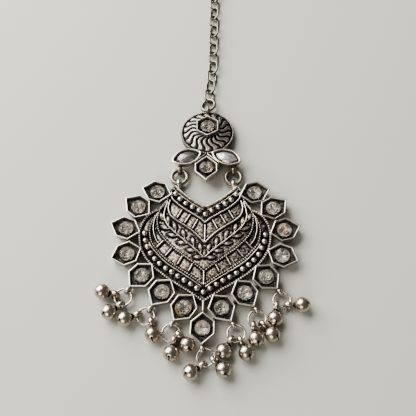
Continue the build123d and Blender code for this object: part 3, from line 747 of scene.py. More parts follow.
def finishes():
    """All the metals, made once: grain, patches, patchiness, polish, bump and the bright colour."""
    values = {
        "ground silver": (3600.0, 1900.0, 2.6, 0.3, 0.00014, (0.43, 0.385, 0.322, 1.0)),
        "cast silver": (3800.0, 900.0, 0.35, 0.24, 0.00003),
        "rim silver": (3800.0, 900.0, 0.3, 0.24, 0.00002, (0.88, 0.84, 0.77, 1.0)),
        "rubbed silver": (3800.0, 900.0, 0.3, 0.22, 0.00002, (0.72, 0.68, 0.61, 1.0)),
        "setting silver": (3000.0, 700.0, 0.35, 0.24, 0.00002, (0.62, 0.585, 0.52, 1.0)),
        "wire silver": (2600.0, 800.0, 0.4, 0.22, 0.00002, (0.60, 0.555, 0.49, 1.0)),
        "dull wire": (2400.0, 700.0, 0.9, 0.3, 0.00004, (0.33, 0.295, 0.245, 1.0)),
        "chain silver": (2400.0, 700.0, 0.9, 0.28, 0.00004, (0.24, 0.235, 0.20, 1.0)),
        "bell silver": (2200.0, 600.0, 0.4, 0.215, 0.00002, (0.55, 0.49, 0.42, 1.0)),
    }
    return {name: bpy.data.materials.get(name) or silver(name, *given) for name, given in values.items()}


def stone_glass():
    """Clear cut glass, very slightly clouded."""
    return substance("clear stone", clouded(),
                     {"Thin": (0.93, 0.91, 0.84, 1.0), "Thick": (0.96, 0.92, 0.90, 1.0), "Scale": 900.0,
                      "Gloss": 0.0, "Haze": 0.06},
                     {"Transmission Weight": 0.94, "IOR": 1.55})[0]


def aged_glue():
    """Glue gone yellow."""
    return substance("aged glue", clouded(),
                     {"Thin": (0.14, 0.085, 0.025, 1.0), "Thick": (0.30, 0.20, 0.08, 1.0), "Scale": 1500.0,
                      "Gloss": 0.3, "Haze": 0.1}, {})[0]


def mirror(name, low, high, fleck, scale, stretch, gloss, metal):
    """Foil or mirror of one kind. Scale is the patches per metre."""
    return substance(name, cut_mirror(),
                     {"Low": low, "High": high, "Fleck": fleck, "Scale": scale, "Stretch": stretch,
                      "Gloss": gloss}, {"Metallic": metal})[0]


# ------------------------------------------------------------- the crescent plate
def plate_outline():
    """The edge of the plate without its settings, closed, anticlockwise from the right horn."""
    half = np.concatenate([smooth(NOTCH_EDGE)[::-1], smooth(HORN_EDGE)[1:], smooth(RIM)[1:]])
    return np.concatenate([half, (half * (-1, 1))[-2:0:-1]])


def inside(points, outline):
    """Which of the points lie inside a closed outline."""
    found = np.zeros(len(points), bool)
    x, y = points[:, 0], points[:, 1]
    for (ax, ay), (bx, by) in zip(outline, np.roll(outline, -1, axis=0)):
        if ay == by:
            continue
        crosses = (ay > y) != (by > y)
        found ^= crosses & (x < (bx - ax) * (y - ay) / (by - ay) + ax)
    return found


def near(points, lines, spacing=0.12):
    """Distance from each point to the nearest of the lines."""
    marks = np.concatenate([evenly(line, step=spacing) for line in lines])
    tree = KDTree(len(marks))
    for k, (x, y) in enumerate(marks):
        tree.insert((x, y, 0.0), k)
    tree.balance()
    return np.array([tree.find((x, y, 0.0))[2] for x, y in points])


def leaf_line(x, y, turn, length=LEAF_LENGTH - 0.1, width=LEAF_WIDTH - 0.02, n=8):
    """The line where a leaf meets the ground, from its foot round to its foot."""
    u = np.linspace(-1, 1, n)
    half = width / 2 * (1 - u ** 2) ** 0.8
    flat = np.concatenate([np.column_stack([u * length / 2, half]),
                           np.column_stack([u[::-1] * length / 2, -half[::-1]])])
    return np.array([turned(px, py, turn) for px, py in flat]) + (x, y)


def leaf_places():
    """Every leaf of both halves: its middle and the way it points."""
    for x, y, turn in LEAVES:
        yield x, y, turn
        yield -x, y, 180 - turn


def ground_piece(metal):
    """The sunk ground of the plate: sandy in the panels, black along every raised line."""
    pitch = 0.16
    outline = plate_outline()
    low, high = outline.min(axis=0), outline.max(axis=0)
    xs = np.arange(low[0], high[0] + pitch, pitch)
    ys = np.arange(low[1], high[1] + pitch, pitch)
    gx, gy = np.meshgrid(xs, ys)
    flat = np.column_stack([gx.ravel(), gy.ravel()])
    kept = inside(flat, outline)
    # How far every point is from the raised lines, the leaves and the bead rows.
    raised = []
    for line in (NOTCH_EDGE, RIDGE_BEADS, RIDGE_BARS, RIDGE_VINE, RIDGE_OUTER, RIM, HORN_EDGE, SLIVER,
                 STEM):
        raised += list(both_sides(smooth(line)))
    for ends in BARS_INNER + BARS_OUTER + BARS_MIDDLE:
        raised += list(both_sides(ends))
    leaves = [leaf_line(*place) for place in leaf_places()]
    rows = []
    for line in (BEADS_TOP, BEADS_OUTER):
        rows += list(both_sides(smooth(line)))
    far = 9.0
    gap = np.full(len(flat), far)
    gap[kept] = np.minimum(near(flat[kept], raised) - 0.2, near(flat[kept], leaves) - 0.15)
    to_beads = np.full(len(flat), far)
    to_beads[kept] = near(flat[kept], rows)
    # Black close to them, and never brighter than the worn middle of the panels, which darkens towards the
    # right half as painted shade.
    dark = np.clip(1.3 - np.clip(gap, 0, None) / 0.5, 0, 1) ** 1.2
    dark = np.maximum(dark, np.clip((1.3 - to_beads) / 0.3, 0, 1))
    # Painted shade: the panels' tarnish rises from the left half to the right one.
    wear_and_right_shade = 0.39 + 0.25 * np.clip(flat[:, 0] / 11.0, -1, 1)
    dark = np.maximum(dark, wear_and_right_shade)
    # Sunk a little along the lines, domed towards the middle of the crescent.
    height = FIELD - 0.14 * np.exp(-((gap - 0.15) / 0.25) ** 2)
    height += 0.05 * np.clip(gap - 0.3, 0, 0.6)
    height += 0.16 - 0.4 * (flat[:, 0] ** 2 + (flat[:, 1] + 5.0) ** 2) / 16.0 ** 2
    # Only the squares whose four corners lie inside the outline.
    points = np.column_stack([flat, height])
    number = np.cumsum(kept) - 1
    order = np.arange(len(flat)).reshape(gx.shape)
    quads = np.stack([order[:-1, :-1], order[:-1, 1:], order[1:, 1:], order[1:, :-1]], axis=-1)
    quads = quads.reshape(-1, 4)
    quads = quads[kept[quads].all(axis=1)]
    form = Form()
    form.points.append(points[kept])
    form.tarnish.append(dark[kept])
    form.faces = number[quads].tolist()
    form.count = int(kept.sum())
    return form.piece("plate_ground", metal["ground silver"], "cast_metal", down_to=1.0)


def base_piece(metal):
    """The plate's body under the ground, with the webs that join the settings to it."""
    form = Form()
    outline = evenly(plate_outline(), step=0.4, closed=True)
    inward = sideways(outline, closed=True)
    levels = [(0.0, 1.0, 0.4), (0.1, 0.95, 0.35), (1.1, 0.1, 0.45)]
    rows = [np.column_stack([outline + inward * draw, np.full(len(outline), z)]) for z, draw, _ in levels]
    dark = np.array([[tarnish] * len(outline) for _, _, tarnish in levels])
    form.shell(np.array(rows), dark)
    places = cell_places()
    # The webs between the settings carry painted shade.
    for (ax, ay, _), (bx, by, _) in zip(places, places[1:]):
        sweep(form, [(ax, ay), ((ax + bx) / 2, (ay + by) / 2), (bx, by)], 1.1, 0.0, 1.5, step=0.4,
              section=SHADED)
    for side in (1, -1):
        sweep(form, [(side * 7.3, 8.2), (side * 7.17, 9.0), (side * HEAVY_X, 9.9)], 0.95, 0.0, 2.15,
              step=0.2)
    sweep(form, [(0.0, -20.6), (0.0, -22.5), (0.0, -24.2)], 0.9, 0.0, RIDGE, step=0.3)
    piece = form.piece("plate_base", metal["cast silver"], "cast_metal")
    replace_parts(piece, "main_plate")


def ridges_piece(metal, look):
    """The raised lines: plain ones inside, grained ones further out."""
    form = Form()
    foot = FIELD - ROOT
    width, pitch = look.ridge_width / MM, look.milgrain_pitch / MM
    for line in (RIDGE_BEADS, RIDGE_BARS):
        for half in both_sides(smooth(line)):
            sweep(form, half, width, foot, RIDGE)
    for half in both_sides(smooth(NOTCH_EDGE)):
        inward = math.copysign(1.0, half[0, 0])
        sweep(form, across(half, 0.1 * inward), width * 1.3, foot, RIDGE + 0.1, section=WORN)
        sweep(form, across(half, 0.86 * inward), width * 0.7, foot, RIDGE - 0.3)
    for half in both_sides(smooth(RIDGE_VINE)):
        sweep(form, half, width, foot, RIDGE, pitch=pitch, depth=0.3, step=0.09)
    for half in both_sides(smooth(RIDGE_OUTER)):
        sweep(form, half, width * 1.05, foot, RIDGE, pitch=pitch, depth=0.4, step=0.09)
    for half in both_sides(across(smooth(RIDGE_OUTER), 0.62)[24:]):
        sweep(form, half, width * 0.8, foot, RIDGE - 0.12)
    for half in both_sides(smooth(HORN_EDGE)):
        sweep(form, half, width * 1.1, foot, RIDGE, pitch=pitch, depth=0.35, step=0.09)
    for half in both_sides(smooth(SLIVER)):
        sweep(form, half, width * 0.7, foot, RIDGE - 0.15)
    return form.piece("plate_ridges", metal["rubbed silver"], "cast_metal")


def rim_piece(metal, look):
    """The rope-like outer rim."""
    form = Form()
    for half in both_sides(smooth(RIM)):
        sweep(form, half, 0.75, 1.2, FIELD + 0.2, step=0.15, section=BLACK)
    for line in (smooth(RIM), smooth(RIM) * (-1, 1)):
        outward = 0.12 if line[0, 0] > 0 else -0.12
        sweep(form, across(line, outward), 0.64, FIELD, RIDGE + 0.1, pitch=look.milgrain_pitch / MM,
              depth=0.55, step=0.07)
    return form.piece("plate_rim", metal["rim silver"], "cast_metal")


def beads_piece(metal, look):
    """Both rows of beads, each bead a little off its place and size."""
    form = Form()
    draw = np.random.default_rng(11)
    radius = look.bead_diameter / MM / 2
    for line, count in ((BEADS_TOP, BEADS_TOP_COUNT), (BEADS_OUTER, BEADS_OUTER_COUNT)):
        right = evenly(smooth(line), count=count)
        for x, y in np.concatenate([right, (right * (-1, 1))[:-1]]):
            dx, dy, size = draw.normal(0, 0.035), draw.normal(0, 0.035), draw.uniform(0.93, 1.02)
            ball(form, (x + dx, y + dy, FIELD + radius * 0.32), radius * size, squash=0.9)
    return form.piece("plate_beads", metal["cast silver"], "cast_metal")


def bars_piece(metal, look):
    """The short bars that part the bands into panels."""
    form = Form()
    bars = [half for ends in BARS_INNER + BARS_OUTER for half in both_sides(ends)]
    for ends in bars + BARS_MIDDLE:
        sweep(form, ends, look.ridge_width / MM, FIELD - ROOT, RIDGE - 0.08, step=0.2)
    return form.piece("plate_bars", metal["rubbed silver"], "cast_metal")


def vine_piece(metal):
    """The stem and its pointed leaves, each with a fold along its middle."""
    form = Form()
    for half in both_sides(smooth(STEM)):
        sweep(form, half, 0.4, FIELD - ROOT, RIDGE - 0.05)
    stems = evenly(smooth(STEM), step=0.1)
    along = np.linspace(-0.985, 0.985, 13)[:, None]
    over = np.linspace(-1, 1, 9)
    steps, around = len(along), len(over) + 2
    edge = np.abs(over) ** 5 * 0.8 + 0.45 * np.exp(-(over / 0.12) ** 2)
    edge = np.broadcast_to(np.concatenate([edge, [1.0, 1.0]]), (steps, around))
    profile = 0.78 - 0.5 * np.abs(over) ** 1.8 - 0.16 * np.exp(-(over / 0.16) ** 2)
    for x, y, turn in leaf_places():
        hx, hy = turned(1, 0, turn)
        foot = np.array([x - 0.95 * hx, y - 0.95 * hy])
        root = foot - (0.35 * hx, 0.35 * hy + 0.25)
        line = stems * (math.copysign(1, x), 1)
        root = line[np.argmin(np.linalg.norm(line - root, axis=1))]
        bend = (foot + root) / 2 - (0.12 * hx, 0.12 * hy)
        sweep(form, smooth([foot, bend, root], 5), 0.26, FIELD - 0.1, RIDGE - 0.25, step=0.08)
        half = LEAF_WIDTH / 2 * (1 - along ** 2) ** 0.95
        lift = (1 - along ** 2) ** 0.5 * profile
        u = along * LEAF_LENGTH / 2 * np.ones(around)
        v = np.concatenate([half * over, half, -half], axis=1)
        z = np.concatenate([FIELD - 0.05 + lift, np.full((steps, 2), FIELD - 0.25)], axis=1)
        flat = np.array([turned(px, py, turn) for px, py in zip(u.ravel(), v.ravel())]) + (x, y)
        form.shell(np.column_stack([flat, z.ravel()]).reshape(steps, around, 3), edge)
    return form.piece("plate_vine", metal["rubbed silver"], "cast_metal")


def settings_piece(metal):
    """The fifteen stone settings round the plate."""
    form = Form()
    for k, place in enumerate(cell_places(), 1):
        setting(form, cell_outline, place, PLATE_HEIGHT, well=0.9, wobble=0.05, seed=k)
    return form.piece("plate_settings", metal["setting silver"], "cast_metal")


def loops_piece(metal):
    """The small loops that carry the thin rings, and the two on the horns."""
    form = Form()
    reach = CELL_SIDE / 2 + CELL_TIP + DROP_LOOP_REACH
    for x, y, turn in cell_places()[BARE_ENDS:-BARE_ENDS]:
        hx, hy = turned(1, 0, turn)
        loop(form, (x + reach * hx, y + reach * hy, DROP_HEIGHT), (-hy, hx, 0), DROP_LOOP)
    for side in (1, -1):
        loop(form, (side * HEAVY_X, *HORN_LOOP), (1, 0, 0), BIG_LOOP, dark=0.1)
    return form.piece("plate_loops", metal["wire silver"], "cast_metal")


class JEWEL_OT_crescent(bpy.types.Operator):
    """Make the crescent plate with its relief, settings and loops"""
    bl_idname = "jewel.crescent"
    bl_label = "Crescent plate"

    def execute(self, context):
        look = context.scene.jewel_plate
        metal = finishes()
        base_piece(metal)
        ground_piece(metal)
        ridges_piece(metal, look)
        rim_piece(metal, look)
        beads_piece(metal, look)
        bars_piece(metal, look)
        vine_piece(metal)
        settings_piece(metal)
        loops_piece(metal)
        return {"FINISHED"}


# ------------------------------------------------------------- the top casting
def disc_form():
    """The domed disc with its petals, parted by curved grooves, and its grained rim."""
    form = Form()
    turns, steps = 576, 40
    angle = np.arange(turns) * math.tau / turns
    share = np.linspace(0, 1, steps)[:, None]
    width, length = DISC_WIDTH / 2 - DISC_RIM, DISC_LENGTH / 2 - DISC_RIM
    # Petals bent like an S, wider outwards, fading at both ends.
    bend = 0.16 * np.sin((share - 0.1) * math.tau) + 0.1 * share
    phase = (angle[None] + bend) * DISC_PETALS / math.tau
    off_middle = 2 * np.abs(phase - np.floor(phase) - 0.5)
    end = np.clip((share - 0.86) / 0.12, 0, 1) ** 2 + np.clip((0.2 - share) / 0.2, 0, 1) ** 2
    petal = np.clip(1 - (off_middle / (0.44 + 0.42 * share)) ** 2 - end, 0, 1) ** 0.5
    # They lie on the dome and carry three fine lines each. The last rows drop to the rim's foot.
    crown = HUB_HEIGHT - 1.25 - (HUB_HEIGHT - 2.3) * share ** 1.2
    height = crown + 0.5 * petal * (0.6 + 0.4 * share)
    fine = np.sin(phase * math.tau * 3 + share * 4)
    height += 0.035 * fine * petal
    close = np.clip((share - 0.95) / 0.05, 0, 1)
    height = height * (1 - close) + 0.9 * close
    # Black in the grooves, and darker to the upper right as painted shade.
    dark = np.clip((0.62 - petal) / 0.34, 0, 1)
    dark = np.maximum(dark, 0.26 + 0.35 * np.clip(-fine, 0, 1))
    dark = np.clip(dark + 0.4 * np.clip(np.cos(angle - 0.6), 0, 1) * share, 0, 1)
    rx = DISC_HOLLOW + (width - DISC_HOLLOW) * share
    ry = DISC_HOLLOW + (length - DISC_HOLLOW) * share
    points = np.stack([rx * np.cos(angle), DISC_Y + ry * np.sin(angle), height], axis=-1)
    edge = np.column_stack([np.cos(angle), np.sin(angle)])
    rows = [points[0] * (1, 1, 0) + (0, 0, 0.3)] + list(points)
    shade = [dark[0]] + list(dark)
    for inset, z, tarnish in ((0.54, 1.1, 1.0), (0.5, 1.2, 0.9), (0.4, 1.25, 0.5), (0.2, 1.25, 0.5),
                              (0.06, 1.15, 0.4), (0.0, 1.0, 0.6), (0.0, 0.1, 0.7), (0.05, 0.0, 0.7)):
        size = (DISC_WIDTH / 2 - inset, DISC_LENGTH / 2 - inset)
        rows.append(np.column_stack([edge * size + (0, DISC_Y), np.full(turns, z)]))
        shade.append(np.full(turns, tarnish))
    form.shell(np.array(rows), np.array(shade))
    rim = edge * (DISC_WIDTH / 2 - 0.24, DISC_LENGTH / 2 - 0.24) + (0, DISC_Y)
    sweep(form, rim, 0.42, 1.0, 1.5, pitch=0.5, depth=0.6, step=0.08, closed=True)
    return form


def top_walls_form():
    """Hub, drop setting, chevron and both pointed oval cups."""
    form = Form()
    setting(form, hexagon, (0, HUB_Y, 0), HUB_HEIGHT, well=1.2)
    setting(form, drop_outline, (0, DROP_Y, -90), PLATE_HEIGHT, well=0.9, wobble=0.04, seed=40, sides=0.5)
    for side in (1, -1):
        setting(form, oval, (side * MARQUISE_X, MARQUISE_Y, -side * MARQUISE_TURN), MARQUISE_HEIGHT,
                sides=0.3)
    for side in (1, -1):
        sweep(form, [(side * 3.35, DROP_Y + 1.2), (0.0, DROP_Y + 4.2)], 0.7, 0.0, PLATE_HEIGHT + 0.1,
              step=0.15, section=WORN)
    # A black sheet under the chevron: painted shade where the gap beneath lies in shadow.
    shade_web = [(-2.6, 21.6), (2.6, 21.6), (2.9, 16.4), (2.2, 15.2), (-2.2, 15.2), (-2.9, 16.4)]
    rows = [[(x, y, z) for x, y in shade_web] for z in (0.0, 1.3)]
    form.shell(np.array(rows), 1.0)
    return form


class JEWEL_OT_top_casting(bpy.types.Operator):
    """Make the sun-ray disc, the drop setting and the two pointed oval cups"""
    bl_idname = "jewel.top_casting"
    bl_label = "Top casting"

    def execute(self, context):
        metal = finishes()
        disc_form().moved(lean).piece("casting_disc", metal["cast silver"], "cast_metal", crease=50)
        walls = top_walls_form().moved(lean).piece("casting_walls", metal["setting silver"], "cast_metal")
        loops = Form()
        for side in (1, -1):
            loop(loops, (side * HEAVY_X, *CASTING_LOOP), (1, 0, 0), BIG_LOOP, dark=0.15)
        loop(loops, (0, *TOP_LOOP), (1, 0, 0), TOP_LOOP_SHAPE)
        loops.moved(lean).piece("casting_loops", metal["dull wire"], "cast_metal")
        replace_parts(walls, "top_casting")
        return {"FINISHED"}


# ------------------------------------------------------------- stones
def foil_form(middle, radius=1.8, depth=1.2, facets=16, seed=0):
    """A faceted foil cone under a stone."""
    form = Form()
    draw = np.random.default_rng(seed)
    angle = draw.uniform(0, math.tau) + np.arange(facets) * math.tau / facets
    rows = []
    for share, low in ((1.0, 0.0), (0.62, 0.5), (0.3, 0.82), (0.03, 1.0)):
        r = radius * share * (1 - draw.uniform(0.0, 0.16, facets) * (share < 1))
        z = -depth * low * (1 - draw.uniform(0.0, 0.16, facets) * (0 < low < 1))
        rows.append(np.column_stack([r * np.cos(angle), r * np.sin(angle), z]) + np.array(middle))
    under = [row - (0, 0, 0.05) for row in rows[:0:-1]]
    form.shell(np.array(under + rows), 0.0)
    return form


def glue_form(x, y, z):
    """A bead of glue in the corner of a setting, beside its stone."""
    a = np.radians(np.linspace(150, 262, 16))
    beside = STONE_SEAT - 0.02
    path = np.column_stack([x + beside * np.cos(a), y + beside * np.sin(a), np.full(16, z)])
    form = Form()
    tube(form, path, 0.34)
    return form


def marquise_form(side):
    """A pointed oval stone: a table, crown facets and a girdle."""
    form = Form()
    draw = np.random.default_rng(3 + side)
    rows = []
    for grow, z in ((-0.52, MARQUISE_HEIGHT - 0.9), (-0.52, MARQUISE_HEIGHT - 0.48),
                    (-0.76, MARQUISE_HEIGHT - 0.2), (-1.08, MARQUISE_HEIGHT + 0.02),
                    (-1.5, MARQUISE_HEIGHT + 0.18)):
        flat = np.array([turned(px, py, -side * MARQUISE_TURN) for px, py in oval(grow, 7)])
        lift = draw.uniform(-0.04, 0.04, len(flat)) * (grow < -0.5)
        rows.append(np.column_stack([flat + (side * MARQUISE_X, MARQUISE_Y), z + lift]))
    index = form.net(np.array(rows), 0.0, around=True)
    form.cap(index[0])
    form.fan(index[-1], (side * MARQUISE_X, MARQUISE_Y, MARQUISE_HEIGHT + 0.26), 0.0)
    return form


class JEWEL_OT_stones(bpy.types.Operator):
    """Finish the cut stones and put foil under the round ones"""
    bl_idname = "jewel.stones"
    bl_label = "Stones"

    def execute(self, context):
        clear = stone_glass()
        # The foil's light and dark patches are painted reflections.
        foil = mirror("stone foil", (0.13, 0.125, 0.11, 1), (0.88, 0.86, 0.79, 1), (0.8, 0.5, 0.4, 1),
                      1300.0, (1.0, 1.0, 1.0), 0.12, 0.5)
        names = [f"rim_stone_{k:02d}" for k in range(1, len(CELL_TURNS) + 1)] + ["stone_drop", "stone_disc"]
        for k, name in enumerate(names):
            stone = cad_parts[name].data
            stone.materials.clear()
            stone.materials.append(clear)
            low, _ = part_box(name)
            middle = from_frame(name)
            middle.z = (low.z - PLATE_PLACE.z) / MM + 1.42
            foil_form(tuple(middle), seed=k).piece(f"foil_{name}", foil, "clear_stone", crease=10)
        x, y, _ = cell_places()[ASKEW_STONE - 1]
        glue_form(x, y, GLUE_HEIGHT).piece("setting_glue", aged_glue(), "clear_stone")
        # The mirrors' patches are painted reflections, and the left mirror is a darker copy of the right
        # one: painted shade.
        for side, name, dim, lit in ((-1, "marquise_left", 0.13, 0.27), (1, "marquise_right", 0.24, 0.56)):
            back = mirror(f"mirror of {name}", (dim, dim, dim * 0.95, 1), (lit, lit * 0.98, lit * 0.96, 1),
                          (0.55, 0.46, 0.53, 1), 1200.0, (0.45, 1.3, 1.0), 0.14, 0.55)
            piece = marquise_form(side).moved(lean).piece(name + "_cut", back, "mirror_stone", crease=12)
            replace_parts(piece, name)
        return {"FINISHED"}


# ------------------------------------------------------------- rings, bells, chain and hook
def ring_piece(name, radius, wire, metal, axis=(0, 0, 1)):
    """A ring of round wire in the place of a packed one."""
    form = Form()
    tube(form, circle(tuple(from_frame(name)), radius, axis, n=72), wire / 2, closed=True, sides=18)
    piece = form.piece(name + "_wire", metal, "wire_metal")
    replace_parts(piece, name)


def ring_radius(name, wire):
    """From the middle of a packed, lying ring to the middle of its wire, in millimetres."""
    low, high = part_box(name)
    return max(high.x - low.x, high.y - low.y) / MM / 2 - wire / 2


class JEWEL_OT_rings(bpy.types.Operator):
    """Make the thin drop rings, the two heavy rings and the ring of the chain"""
    bl_idname = "jewel.rings"
    bl_label = "Rings"

    def execute(self, context):
        metal = finishes()
        for k in range(1, len(DROPS) + 1):
            name = f"drop_ring_{k}"
            ring_piece(name, ring_radius(name, DROP_WIRE), DROP_WIRE, metal["wire silver"])
        for name in ("jump_ring_left", "jump_ring_right"):
            ring_piece(name, ring_radius(name, HEAVY_WIRE), HEAVY_DRAWN, metal["dull wire"])
        dip, over = (math.radians(lean_by) for lean_by in TOP_RING_LEAN)
        axis = Matrix.Rotation(dip, 3, "X") @ Matrix.Rotation(over, 3, "Y") @ Vector((0, 0, 1))
        ring_piece("top_ring", TOP_RING_RADIUS, TOP_RING_WIRE, metal["chain silver"], axis)
        return {"FINISHED"}


def bell_mesh(material, around=40):
    """One bell along +X, still without its slot, the middle of its eye at the origin."""
    centre = BELL_REACH
    form = Form()
    stations = [(BELL_EYE_MAJOR - 0.05, 0.3, 0.8), (BELL_EYE_MAJOR + 0.12, 0.42, 0.9),
                (centre - BELL_RADIUS - 0.16, 0.42, 1.0), (centre - BELL_RADIUS - 0.1, 0.8, 1.0),
                (centre - BELL_RADIUS * 0.915, 0.82, 1.0)]
    for deg in np.linspace(28, 86, 14):
        a = math.radians(deg)
        tarnish = 0.8 if deg < 30 else 0.0
        stations.append((centre - BELL_RADIUS * math.cos(a), BELL_RADIUS * math.sin(a), tarnish))
    stations += [(centre - 0.09, BELL_RADIUS, 0.35), (centre - 0.07, BELL_RADIUS + 0.055, 0.0),
                 (centre + 0.07, BELL_RADIUS + 0.055, 0.0), (centre + 0.09, BELL_RADIUS, 0.35)]
    for deg in np.linspace(94, 177, 19):
        a = math.radians(deg)
        stations.append((centre - BELL_RADIUS * math.cos(a), BELL_RADIUS * math.sin(a), 0.0))
    a = np.arange(around) * math.tau / around
    rows = [np.column_stack([np.full(around, x), r * np.cos(a), r * np.sin(a)]) for x, r, _ in stations]
    dark = np.array([[t] * around for _, _, t in stations])
    form.shell(np.array(rows), dark)
    loop(form, (0, 0, 0), (0, 1, 0), BELL_EYE, n=40)
    return form.mesh("bell", material, (0.0, 0.0, 0.0))


def cut_slot(mesh):
    """The bell with a slot across its end and a round hole at both ends of the slot, their cut faces
    painted black as shade.
    """
    centre, radius, hole = BELL_REACH * MM, BELL_RADIUS * MM, BELL_HOLE * MM
    shape = bmesh.new()
    shape.from_mesh(mesh)
    bmesh.ops.recalc_face_normals(shape, faces=shape.faces)
    shape.to_mesh(mesh)
    shape.free()
    body = bpy.data.objects.new("bell_body", mesh)
    bpy.context.scene.collection.objects.link(body)
    cutter = bmesh.new()
    bmesh.ops.create_cube(cutter, size=1.0, matrix=Matrix.Translation((centre + radius, 0, 0))
                          @ Matrix.Diagonal((radius * 0.62, BELL_SLOT * MM, radius * 1.3, 1)))
    for end in (1, -1):
        bmesh.ops.create_cone(cutter, cap_ends=True, segments=16, radius1=hole, radius2=hole,
                              depth=1.1 * MM, matrix=Matrix.Translation((centre, 0, 0))
                              @ Matrix.Rotation(math.radians(-end * 41.0), 4, "Y")
                              @ Matrix.Translation((radius, 0, 0)) @ Matrix.Rotation(math.pi / 2, 4, "Y"))
    cut_mesh = bpy.data.meshes.new("cutter")
    cutter.to_mesh(cut_mesh)
    cutter.free()
    tool = bpy.data.objects.new("cutter", cut_mesh)
    bpy.context.scene.collection.objects.link(tool)
    step = body.modifiers.new("slot", "BOOLEAN")
    step.object = tool
    step.operation = "DIFFERENCE"
    step.solver = "EXACT"
    step.use_self = True
    bpy.context.view_layer.update()
    done = bpy.data.meshes.new_from_object(body.evaluated_get(bpy.context.evaluated_depsgraph_get()))
    bpy.data.objects.remove(body)
    bpy.data.objects.remove(tool)
    co = np.zeros(len(done.vertices) * 3)
    done.vertices.foreach_get("co", co)
    co = co.reshape(-1, 3)
    dark = np.zeros(len(co))
    done.attributes["tarnish"].data.foreach_get("value", dark)
    # Painted shade: the faces cut by the slot and holes are black, like the shaded hollow of a bell.
    slot_shade = np.linalg.norm(co - (centre, 0, 0), axis=1) < radius * 0.985
    dark[slot_shade & (co[:, 0] > centre)] = 1.0
    done.attributes["tarnish"].data.foreach_set("value", dark)
    done.shade_smooth()
    done.set_sharp_from_angle(angle=math.radians(40))
    return done


class JEWEL_OT_bells(bpy.types.Operator):
    """Make the slotted bells, two on every drop ring"""
    bl_idname = "jewel.bells"
    bl_label = "Bells"

    def execute(self, context):
        metal = finishes()
        pattern = cut_slot(bell_mesh(metal["bell silver"]))
        lift = math.asin((BELL_RADIUS + 0.1 - DROP_HEIGHT) / BELL_REACH)
        for number, drop in enumerate(DROPS, 1):
            low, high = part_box(f"drop_ring_{number}")
            middle = (low + high) / 2
            radius = (high.x - low.x) / 2 - DROP_WIRE / 2 * MM
            for letter in "ab":
                ex, ey = turned(1, 0, drop["eye_" + letter])
                mesh = pattern.copy()
                mesh.transform(Matrix.Translation(middle + Vector((ex, ey, 0)) * radius)
                               @ Matrix.Rotation(math.radians(drop["bell_" + letter]), 4, "Z")
                               @ Matrix.Rotation(-lift, 4, "Y")
                               @ Matrix.Rotation(math.radians(drop["turn_" + letter]), 4, "X"))
                name = f"bell_{number}{letter}"
                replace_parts(placed(name + "_shell", mesh), name)
        return {"FINISHED"}


def link_path(n=14):
    """The middle line of a link, along Y."""
    radius = (LINK_WIDTH - LINK_WIRE) / 2
    half = (LINK_LENGTH - LINK_WIRE) / 2 - radius
    a = np.linspace(0, math.pi, n)
    top = np.column_stack([radius * np.cos(a), half + radius * np.sin(a), 0 * a])
    return evenly(np.concatenate([top, -top]), step=0.22, closed=True)


def hook_form(height):
    """A hair hook: an eye, a shank that slopes down to the surface and a round bend."""
    low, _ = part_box("hook")
    low = (low - PLATE_PLACE) / MM
    start = HOOK_EYE + 0.16
    slope = math.asin((height - HOOK_WIRE / 2 - 0.05) / (start + HOOK_SHANK + HOOK_BEND))
    turn = np.array(Matrix.Rotation(-slope, 3, "X"))
    place = (CHAIN_X, low.y + (HOOK_EYE + HOOK_WIRE / 2) * math.cos(slope), height)
    lean_way = math.radians(20.0)
    eye = circle((0, 0, 0), HOOK_EYE, (math.sin(lean_way), 0, math.cos(lean_way)))
    a = np.linspace(math.pi, 0, 25)
    bend = np.column_stack([HOOK_BEND * (1 + np.cos(a)), start + HOOK_SHANK + HOOK_BEND * np.sin(a)])
    line = np.vstack([[(0, start)], bend, [(2 * HOOK_BEND, start + HOOK_SHANK - HOOK_RETURN)]])
    line = evenly(line, step=0.25)
    path = np.column_stack([line, np.zeros(len(line))])
    form = Form()
    tube(form, eye @ turn.T + place, HOOK_WIRE / 2, closed=True)
    tube(form, path @ turn.T + place, HOOK_WIRE / 2)
    return form


class JEWEL_OT_chain(bpy.types.Operator):
    """Make the chain of leaning oval links and the hair hook at its end"""
    bl_idname = "jewel.chain"
    bl_label = "Chain and hook"

    def execute(self, context):
        metal = finishes()
        low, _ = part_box("chain")
        first_y = (low.y - PLATE_PLACE.y) / MM + LINK_LENGTH / 2
        pitch = LINK_LENGTH - 2 * LINK_WIRE - LINK_SLACK
        height = (LINK_WIDTH - LINK_WIRE) / 2 * math.sin(math.radians(LINK_ROLL)) + LINK_WIRE / 2 + 0.02
        form = Form()
        for k in range(LINK_COUNT):
            roll = math.radians(LINK_ROLL if k % 2 == 0 else -LINK_ROLL)
            turn = np.array(Matrix.Rotation(roll, 3, "Y"))
            x = CHAIN_START_X + (CHAIN_X - CHAIN_START_X) * min(k, 3) / 3
            tube(form, link_path() @ turn.T + (x, first_y + k * pitch, height), LINK_WIRE / 2, closed=True)
        piece = form.piece("chain_links", metal["chain silver"], "wire_metal")
        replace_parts(piece, "chain")
        piece = hook_form(height).piece("hook_wire", metal["chain silver"], "wire_metal")
        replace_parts(piece, "hook")
        return {"FINISHED"}


# ------------------------------------------------------------- stage
def soft_light(name, place, size, power, colour):
    """A square light that faces the crescent."""
    data = bpy.data.lights.new(name, "AREA")
    data.shape = "SQUARE"
    data.size = size
    data.energy = power
    data.color = colour
    lamp = bpy.data.objects.new(name, data)
    lamp.location = place
    lamp.rotation_mode = "QUATERNION"
    lamp.rotation_quaternion = Vector(place).to_track_quat("Z", "Y")
    bpy.context.scene.collection.objects.link(lamp)


def floor_material(colour):
    """A plain, dull floor."""
    material = bpy.data.materials.new("plain floor")
    material.use_nodes = True
    shader = material.node_tree.nodes["Principled BSDF"]
    shader.inputs["Base Color"].default_value = colour
    shader.inputs["Roughness"].default_value = 0.75
    return material


